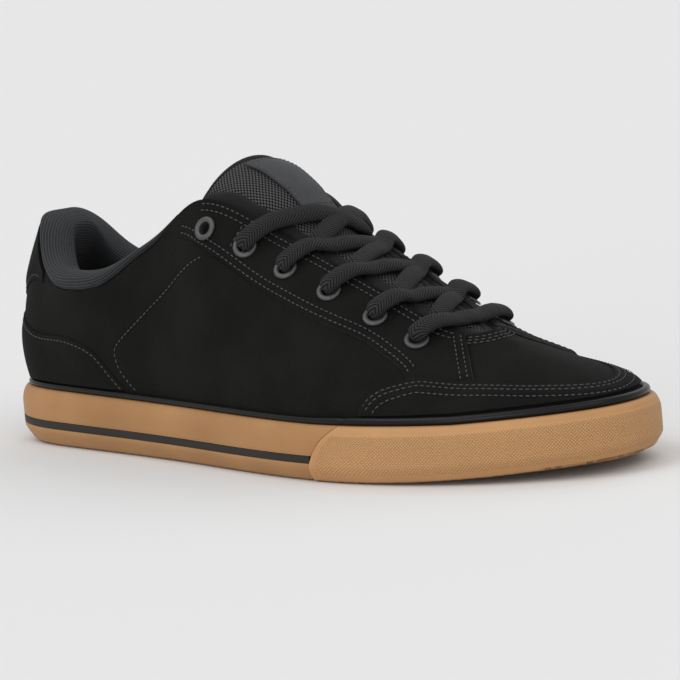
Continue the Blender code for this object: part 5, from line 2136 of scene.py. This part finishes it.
class TongueForm:
    """Front and back faces of the tongue, by station and place across."""

    SHARES = np.linspace(-1.0, 1.0, 11)
    TOP = (0.408, 1.117, 0.212, 0.16, -0.013, 0.55)
    WING_SHARE = 0.90
    WING_CLEARANCE = 0.0011
    ROOT_REACH = 0.17
    ROOT_RISES = (0.98, 0.86)

    def __init__(self) -> None:
        """Work out the stations' lines and paddings."""
        along, height, across, drop, back, pad = self.TOP
        top = np.array([(along - 0.5) * SIZES.length, 0.0, height * SIZES.instep_height])
        fall = drop * SIZES.instep_height
        side = np.array([back * SIZES.length, across * SIZES.ball_width, -fall])
        outer, inner = top + side * (1.0, -1.0, 1.0), top + side
        half_fall = np.array([0.0, 0.0, -fall / 2.0])
        lines = [[outer + half_fall, *self.arch(outer, inner, top, self.SHARES), inner + half_fall]]
        pads = [pad]
        for row in CREST:
            outer, inner, crest = self.station(np.array([row.way]))
            ways = np.array([row.way, 2.0 - row.way])
            rises = SHELL.rises_at_height(SHELL.controls(ways), np.full(2, self.WING_SHARE))
            wings = SHELL.points(ways, rises, -(SIZES.wall + self.WING_CLEARANCE))
            lines.append([wings[0], *self.arch(outer[0], inner[0], crest[0], self.SHARES), wings[1]])
            pads.append(row.pad)
        for rise in self.ROOT_RISES:
            ways = 1.0 + self.SHARES * self.ROOT_REACH
            root = SHELL.points(ways, np.full(len(ways), rise), -(SIZES.wall + self.WING_CLEARANCE))
            spread = unit(root[-1] - root[0]) * SIZES.tongue_wing
            lines.append([root[0] - spread, *root, root[-1] + spread])
            pads.append(SIZES.tongue_wing / SIZES.tongue_pad)
        self.lines = np.array(lines)
        self.pads = np.array(pads) * SIZES.tongue_pad

    @staticmethod
    def arch(outer: np.ndarray, inner: np.ndarray, crest: np.ndarray, shares: np.ndarray) -> np.ndarray:
        """Points of an arch from one edge (-1) over the crest to the other (1).

        Args:
            outer: Outer edge.
            inner: Inner edge.
            crest: Crest.
            shares: Places across, from -1 to 1.

        Returns:
            The points.
        """
        widest = math.radians(SIZES.tongue_arch)
        turn = widest * np.asarray(shares)[..., None]
        aside = np.sin(turn) / math.sin(widest)
        drop = (1.0 - np.cos(turn)) / (1.0 - math.cos(widest))
        middle = (outer + inner) / 2.0
        return crest + (inner - outer) / 2.0 * aside + (middle - crest) * drop

    @staticmethod
    def station(ways: np.ndarray) -> tuple[np.ndarray, np.ndarray, np.ndarray]:
        """Both edges and the crest of the arch beside ways.

        Args:
            ways: Ways on the outer side.

        Returns:
            Outer edges, inner edges and crests.
        """
        one = np.ones(len(ways))
        inset = -(SIZES.wall + SIZES.soft_clearance)
        outer = SHELL.points(ways, one, inset)
        inner = SHELL.points(2.0 - ways, one, inset)
        along, height = eased(ways, CREST, 1, flat=False), eased(ways, CREST, 2, flat=False)
        crest = np.stack([(along - 0.5) * SIZES.length, 0.0 * along, height * SIZES.instep_height], -1)
        return outer, inner, crest

    def face(self, stations: np.ndarray, places: np.ndarray) -> np.ndarray:
        """Points of the front face for rows of stations and places across, 0 to 12."""
        rows = catmull(self.lines, stations)
        return catmull(rows.transpose(1, 0, 2), places).transpose(1, 0, 2)

    @staticmethod
    def normals(grid: np.ndarray) -> np.ndarray:
        """Outward normals of a face's grid."""
        return unit(np.cross(np.gradient(grid, axis=0), np.gradient(grid, axis=1)))


@dataclass
class PaddedTongue:
    """Padded mesh tongue with a bound edge and a bare woven label."""

    stations: int = 190
    across: int = 110
    round_top: float = 0.42
    band: float = 0.0046
    label_stations: tuple[float, float] = (1.35, 4.4)
    label_places: tuple[float, float] = (4.4, 7.6)
    label_grid: tuple[int, int] = (72, 50)
    label_lift: float = 0.0008
    label_crown: float = 0.0003
    label_thickness: float = 0.0010
    label_seam: int = 3
    thread_lift: float = 0.00005
    form: TongueForm = field(default_factory=TongueForm)

    def grids(self) -> tuple[np.ndarray, np.ndarray, np.ndarray]:
        """Front and back of the tongue.

        Returns:
            Front, back and stations.
        """
        last = len(self.form.lines) - 1.0
        rows = np.linspace(0.0, 1.0, self.stations) ** 1.25 * last
        places = np.linspace(0.0, 12.0, self.across)
        front = self.form.face(rows, places)
        normals = self.form.normals(front)
        share = np.sin(math.pi * places / 12.0) ** 0.8
        pad = catmull(self.form.pads, rows)
        depth = SIZES.tongue_wing + np.maximum(0.0, pad - SIZES.tongue_wing)[:, None] * share[None]
        back = front - normals * depth[..., None]
        closing = np.sqrt(np.clip(1.0 - (1.0 - np.clip(rows / self.round_top, 0.0, 1.0)) ** 2, 0.0, 1.0))
        middle = (front + back) / 2.0
        front = middle + (front - middle) * closing[:, None, None]
        back = middle + (back - middle) * closing[:, None, None]
        return front, back, rows

    def build(self) -> None:
        """Make tongue, bound edge and label."""
        front, back, rows = self.grids()
        normals = self.form.normals(front)
        centre = self.across // 2
        down = polyline_length(front[:, centre])
        sideways = np.stack([polyline_length(line) for line in front])
        sideways = sideways - sideways[:, centre:centre + 1]
        half = np.minimum(np.abs(sideways[:, :1]), sideways[:, -1:])
        edge_gap = half - np.abs(sideways)
        wing = np.interp(rows, [0.0, 1.0, 2.0], [0.0, 0.008, 0.010])
        rim = np.minimum(down[:, None], edge_gap - wing[:, None])
        bound = 1.0 - smooth_step(self.band - 0.0004, self.band + 0.0004, rim)
        groove = 0.0005 * np.exp(-(((rim - self.band) / 0.0008) ** 2))
        front = front + normals * (0.0004 * bound - groove)[..., None]
        ring = np.concatenate([front, back[:, ::-1], front[:, :1]], axis=1)
        ends = ring[-1:].mean(1, keepdims=True).repeat(ring.shape[1], 1)
        places = np.concatenate([ring, ends])
        places[0, :] = (ring[0] + np.concatenate([back[:1, :], front[:1, ::-1], back[:1, :1]], 1)[0]) / 2.0
        along = np.concatenate([down, down[-1:]])[:, None].repeat(places.shape[1], 1) / MM
        over = np.concatenate([sideways, sideways[:, ::-1], sideways[:, :1]], 1)
        over = np.concatenate([over, over[-1:]]) / MM
        piece = grid_piece("padded_tongue", places.transpose(1, 0, 2)[::-1], (along.T[::-1], over.T[::-1]))
        marks = np.concatenate([bound, np.ones_like(back[..., 0]), bound[:, :1]], 1)
        marks = np.concatenate([marks, marks[-1:]])
        set_attribute(piece, "bound", marks.T[::-1])
        Finishes.MESH.dress(piece)
        binding = Finishes.BINDING.add_to(piece)
        values = np.empty(len(piece.data.vertices))
        piece.data.attributes["bound"].data.foreach_get("value", values)
        for face in piece.data.polygons:
            if np.mean(values[list(face.vertices)]) > 0.5:
                face.material_index = binding
        close_piece(piece)
        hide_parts("tongue")
        finish_piece(piece, 80.0)
        self.build_label()

    def build_label(self) -> None:
        """Bare satin label on the tongue, with a woven border and sewn sides."""
        down, across = self.label_grid
        stations, places = np.linspace(*self.label_stations, down), np.linspace(*self.label_places, across)
        face = self.form.face(stations, places)
        normals = self.form.normals(face)
        lengthwise, crosswise = np.linspace(0.0, math.pi, down), np.linspace(0.0, math.pi, across)
        crown = np.sin(lengthwise)[:, None] * np.sin(crosswise)[None]
        lift = SIZES.soft_clearance + self.label_lift + self.label_crown * crown
        grid = face + normals * lift[..., None]
        piece = grid_piece("bare_label", grid.transpose(1, 0, 2)[::-1])
        Finishes.LABEL.dress(piece)
        make_solid(piece, self.label_thickness, bevel=self.label_crown)
        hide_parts("tongue_label")
        finish_piece(piece, 60.0)
        inset = grid + normals * self.thread_lift
        inner = slice(self.label_seam, -self.label_seam)
        for row in (self.label_seam, -self.label_seam - 1):
            STITCHES.add(inset[row, inner], normals[row, inner])
            STITCHES.add(inset[inner, row], normals[inner, row])


@dataclass
class EyeletSet:
    """Twelve rolled metal eyelets set through the eyestays."""

    segments: int = 40
    barrel: float = 0.0042

    def profile(self) -> np.ndarray:
        """Section of one eyelet, from the barrel's foot and back.

        Returns:
            Radius and height of each point.
        """
        hole, flange, thick = SIZES.eyelet_hole, SIZES.eyelet_flange, SIZES.eyelet_thickness
        turns = np.linspace(math.pi, 0.0, 11)
        middle, half = (hole + flange) / 2.0, (flange - hole) / 2.0
        crown = [(middle + half * math.cos(turn), thick * math.sin(turn) ** 0.75) for turn in turns]
        return np.array([(hole, -self.barrel), *crown, (hole + 0.0004, 0.0), (hole + 0.0003, -self.barrel)])

    def build(self) -> None:
        """Turn one eyelet and set a copy at each place."""
        profile = self.profile()
        profile = np.vstack([profile, profile[:1]])
        turns = np.linspace(0.0, 2.0 * math.pi, self.segments + 1)
        ring = np.stack([np.cos(turns), np.sin(turns), np.zeros(len(turns))], -1)
        local = ring[:, None] * profile[None, :, :1] + np.array([0.0, 0.0, 1.0]) * profile[None, :, 1:]
        offset = 2.0 * SIZES.clearance + SIZES.overlay
        for side in Side:
            ways = side.way(np.array(EYELET_WAYS))
            rises = SHELL.setback_rises(ways, SIZES.eyelet_setback)
            centres, normals = SHELL.points(ways, rises, offset), SHELL.normals(ways, rises)
            for number, (centre, normal) in enumerate(zip(centres, normals), 1):
                turned = Vector(normal).to_track_quat("Z", "Y").to_matrix()
                places = local @ np.array(turned).T + centre
                piece = grid_piece(f"eyelet_ring_{side.value}_{number}", places)
                close_piece(piece)
                Finishes.EYELET.dress(piece)
                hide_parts(f"eyelet_{side.value}_{number}")
                finish_piece(piece, 60.0)


@dataclass
class LaceStop:
    """A place of the lace's middle line, with its width's direction and its size there."""

    place: np.ndarray
    side: np.ndarray
    size: float = 1.0


@dataclass
class FatLace:
    """One oval lace, run from the bottom bar up both sides and through every eyelet but the top ones."""

    sides: int = 28
    spacing: float = 0.0008
    shares: tuple[float, ...] = (-0.72, -0.42, -0.12, 0.18, 0.5)
    slant: float = 0.012
    bar_slant: float = 0.022
    reaches: tuple[float, ...] = (0.9, 0.35, 0.35, 0.35)
    edge_seat: float = 0.93
    tuck: float = 0.0042
    dives: tuple[tuple[float, float], ...] = ((0.0008, 0.88), (0.0030, 0.66), (0.0058, 0.60))
    form: TongueForm = field(default_factory=TongueForm)

    def on_eyestay(self, way: float, rise: float, spare: float, size: float = 1.0) -> LaceStop:
        """Stop on an eyestay, with room to spare beneath.

        Args:
            way: Way round.
            rise: Share of the section's curve.
            spare: Room beneath.
            size: Share of the lace's size.

        Returns:
            The stop.
        """
        ways, rises = np.array([way]), np.array([rise])
        stack = SIZES.overlay + 2.0 * SIZES.clearance + SIZES.lace_thickness / 2.0
        place = SHELL.points(ways, rises, stack + spare)[0]
        ahead = unit(SHELL.points(ways + 0.004, rises)[0] - SHELL.points(ways - 0.004, rises)[0])
        return LaceStop(place, ahead if way < 1.0 else -ahead, size)

    def over_tongue(self, way: float, share: float, lift: float) -> LaceStop:
        """Stop on the tongue's arch beside a way.

        Args:
            way: Way on the outer side.
            share: Place across, from -1 to 1.
            lift: Room beneath.

        Returns:
            The stop.
        """
        ways = np.array([way - 0.02, way, way + 0.02])
        outer, inner, crest = self.form.station(ways)
        shares = np.array([share - 0.05, share, share + 0.05])
        arch = self.form.arch(outer[1], inner[1], crest[1], shares)
        lower = unit(crest[2] - crest[0])
        normal = unit(np.cross(lower, unit(arch[2] - arch[0])))
        place = arch[1] + normal * (SIZES.lace_thickness / 2.0 + SIZES.lace_clearance + lift)
        return LaceStop(place, lower)

    def dive(self, way: float) -> list[LaceStop]:
        """Stops from an eyelet's flange down through its hole.

        Args:
            way: The eyelet's way.

        Returns:
            The stops in order.
        """
        rise = float(SHELL.setback_rises(np.array([way]), SIZES.eyelet_setback)[0])
        hole = self.on_eyestay(way, rise, SIZES.eyelet_thickness + SIZES.clearance)
        normal = SHELL.normals(np.array([way]), np.array([rise]))[0]
        return [LaceStop(hole.place - normal * depth, hole.side, size) for depth, size in self.dives]

    def strand(self, start_way: float, end_way: float, side: float) -> list[LaceStop]:
        """Stops of one run, from inside one facing over the tongue to an eyelet of the other side.

        Args:
            start_way: Way beside the run's hidden end.
            end_way: Way of the eyelet.
            side: 1 to end on the inner side, -1 on the outer side.

        Returns:
            The stops in order.
        """
        stops = []
        for share in (-0.97, -0.88, *self.shares):
            way = start_way + (end_way + self.slant - start_way) * (share + 1.0) / 2.0
            hidden = float(smooth_step(-0.70, -1.0, np.array(share)))
            stop = self.over_tongue(way, share * side, -self.tuck * hidden)
            stop.size = 1.0 - 0.25 * hidden
            stops.append(stop)
        return stops + self.end(Side.LATERAL if side < 0.0 else Side.MEDIAL, end_way, self.slant)

    def end(self, side: Side, way: float, slant: float) -> list[LaceStop]:
        """Stops from the facing's edge back and down through an eyelet.

        Args:
            side: The side of the shoe.
            way: The eyelet's way.
            slant: How far towards the toe the lace meets the edge.

        Returns:
            The stops in order.
        """
        flange = SIZES.eyelet_thickness + SIZES.clearance
        edge = self.on_eyestay(float(side.way(way + slant)), 1.0, SIZES.clearance)
        seat = self.on_eyestay(float(side.way(way + slant / 2.0)), self.edge_seat, flange)
        return [edge, seat, *self.dive(float(side.way(way)))]

    def bar(self) -> list[LaceStop]:
        """Stops of the bottom bar, from one side's eyelet to the other's.

        Returns:
            The stops in order.
        """
        way = EYELET_WAYS[-1]
        outer, inner = (self.end(side, way, self.bar_slant) for side in Side)
        middle = [self.over_tongue(way + self.bar_slant, share, 0.0) for share in (-0.3, 0.0, 0.3)]
        return outer[::-1] + middle + inner

    def sweep(self, name: str, stops: list[LaceStop]) -> bpy.types.Object:
        """Sweep the oval lace through its stops.

        Args:
            name: The piece's name.
            stops: The stops in order.

        Returns:
            The piece.
        """
        table = np.array([[*stop.place, *stop.side, stop.size] for stop in stops])
        gaps = np.linalg.norm(np.diff(table[:, :3], axis=0), axis=1)
        knots = np.concatenate([[0.0], np.cumsum(gaps)])
        tangents = np.gradient(table, knots, axis=0)
        count = int(knots[-1] / self.spacing)
        at = np.linspace(0.0, knots[-1], count)
        k = np.clip(np.searchsorted(knots, at, side="right") - 1, 0, len(knots) - 2)
        step = gaps[k][:, None]
        s = ((at - knots[k]) / gaps[k])[:, None]
        curve = (2 * s ** 3 - 3 * s ** 2 + 1) * table[k] + (s ** 3 - 2 * s ** 2 + s) * step * tangents[k]
        curve = curve + (3 * s ** 2 - 2 * s ** 3) * table[k + 1] + (s ** 3 - s ** 2) * step * tangents[k + 1]
        line, size = curve[:, :3], curve[:, 6]
        ahead = unit(np.gradient(line, axis=0))
        side = curve[:, 3:6]
        side = unit(side - ahead * (side * ahead).sum(1)[:, None])
        up = np.cross(side, ahead)
        thick = SIZES.lace_thickness * (0.5 + 0.5 * size)
        places = tube_places(line, side, up, SIZES.lace_width * size, thick, self.sides)
        lengths = polyline_length(line) / MM
        lengths = np.concatenate([lengths[:1], lengths, lengths[-1:]])
        girth = math.pi * (SIZES.lace_width + SIZES.lace_thickness) / 2.0 / MM
        around = np.linspace(0.0, girth, self.sides + 1)
        piece = grid_piece(name, places, tuple(np.meshgrid(lengths, around, indexing="ij")))
        close_piece(piece)
        pick(piece)
        bpy.ops.object.mode_set(mode="EDIT")
        bpy.ops.mesh.select_all(action="SELECT")
        bpy.ops.mesh.normals_make_consistent(inside=False)
        bpy.ops.object.mode_set(mode="OBJECT")
        Finishes.LACE.dress(piece)
        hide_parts("lacing")
        return finish_piece(piece, 80.0)

    def build(self) -> None:
        """Make every crossing and the bottom bar."""
        ways = EYELET_WAYS
        self.sweep("lace_bottom_bar", self.bar())
        for number in range(1, len(ways) - 1):
            gap = ways[number + 1] - ways[number]
            inner = self.strand(ways[number + 1] + self.slant, ways[number], 1.0)
            outer = self.strand(ways[number] + gap * self.reaches[number - 1], ways[number], -1.0)
            self.sweep(f"lace_inner_run_{number + 1}", inner)
            self.sweep(f"lace_outer_run_{number + 1}", outer)


@dataclass(frozen=True)
class Studio:
    """Pale floor, soft lights and the photograph's camera."""

    azimuth: float = 46.787
    elevation: float = 8.677
    roll: float = -5.22
    distance: float = 1.729003
    focal_pixels: float = 4635.179
    frame_pixels: float = 680.0
    shift_right: float = -0.003658
    shift_up: float = -0.040042
    sensor: float = 36.0
    floor_size: float = 24.0

    def build(self) -> None:
        """Set up camera, floor, world and lights."""
        self.build_camera()
        self.build_floor()
        self.build_world()
        self.build_lights()
        bpy.context.scene.view_settings.view_transform = "Standard"

    def build_camera(self) -> None:
        """Camera at the photograph's angle, rolled as it is."""
        turn, lift, roll = (math.radians(angle) for angle in (self.azimuth, self.elevation, self.roll))
        back = Vector((math.sin(turn) * math.cos(lift), -math.cos(turn) * math.cos(lift), math.sin(lift)))
        right = Vector((math.cos(turn), math.sin(turn), 0.0))
        up = back.cross(right)
        tilted_right = right * math.cos(roll) + up * math.sin(roll)
        tilted_up = up * math.cos(roll) - right * math.sin(roll)
        place = back * self.distance - tilted_right * self.shift_right - tilted_up * self.shift_up
        data = bpy.data.cameras.new("photo_camera")
        data.sensor_width = self.sensor
        data.lens = self.focal_pixels / self.frame_pixels * self.sensor
        data.clip_start, data.clip_end = 0.05, 60.0
        camera = bpy.data.objects.new("photo_camera", data)
        bpy.context.scene.collection.objects.link(camera)
        axes = Matrix((tilted_right, tilted_up, back)).transposed()
        camera.matrix_world = Matrix.Translation(place) @ axes.to_4x4()
        bpy.context.scene.camera = camera

    def build_floor(self) -> None:
        """Wide pale floor."""
        deselect()
        bpy.ops.mesh.primitive_plane_add(size=self.floor_size, location=(0.0, 0.0, 0.0))
        floor = bpy.context.object
        floor.name = "floor"
        made = bpy.data.materials.new("pale_floor")
        made.use_nodes = True
        shader = made.node_tree.nodes["Principled BSDF"]
        shader.inputs["Base Color"].default_value = (0.80, 0.80, 0.80, 1.0)
        shader.inputs["Roughness"].default_value = 0.9
        shader.inputs["Specular IOR Level"].default_value = 0.1
        floor.data.materials.append(made)

    def build_world(self) -> None:
        """Even pale surroundings."""
        world = bpy.data.worlds.new("studio")
        world.use_nodes = True
        sky = world.node_tree.nodes["Background"]
        sky.inputs["Color"].default_value = (1.0, 1.0, 1.0, 1.0)
        sky.inputs["Strength"].default_value = 0.62
        bpy.context.scene.world = world

    def build_lights(self) -> None:
        """Wide soft lights from the camera's left, from above the toe and from behind."""
        lamps = (
            ("key_light", (-0.45, -1.0, 1.5), 0.70, 40.0),
            ("toe_light", (1.4, -0.5, 1.2), 0.50, 45.0),
            ("back_light", (-0.2, 1.2, 1.4), 0.35, 50.0),
            ("low_light", (0.3, -1.0, 0.06), 0.85, 30.0),
        )
        for name, place, strength, angle in lamps:
            data = bpy.data.lights.new(name, "SUN")
            data.energy = strength
            data.angle = math.radians(angle)
            light = bpy.data.objects.new(name, data)
            bpy.context.scene.collection.objects.link(light)
            light.rotation_euler = Vector(place).to_track_quat("Z", "Y").to_euler()


def main() -> None:
    """Build the shoe's pieces and the studio round them."""
    logging.basicConfig(level=logging.INFO, format="%(message)s")
    sew_upper()
    UpperShell().build()
    SoleUnit().build()
    PaddedCollar().build()
    PaddedTongue().build()
    EyeletSet().build()
    FatLace().build()
    STITCHES.build("seam_stitches")
    Studio().build()


if __name__ == "__main__":
    main()
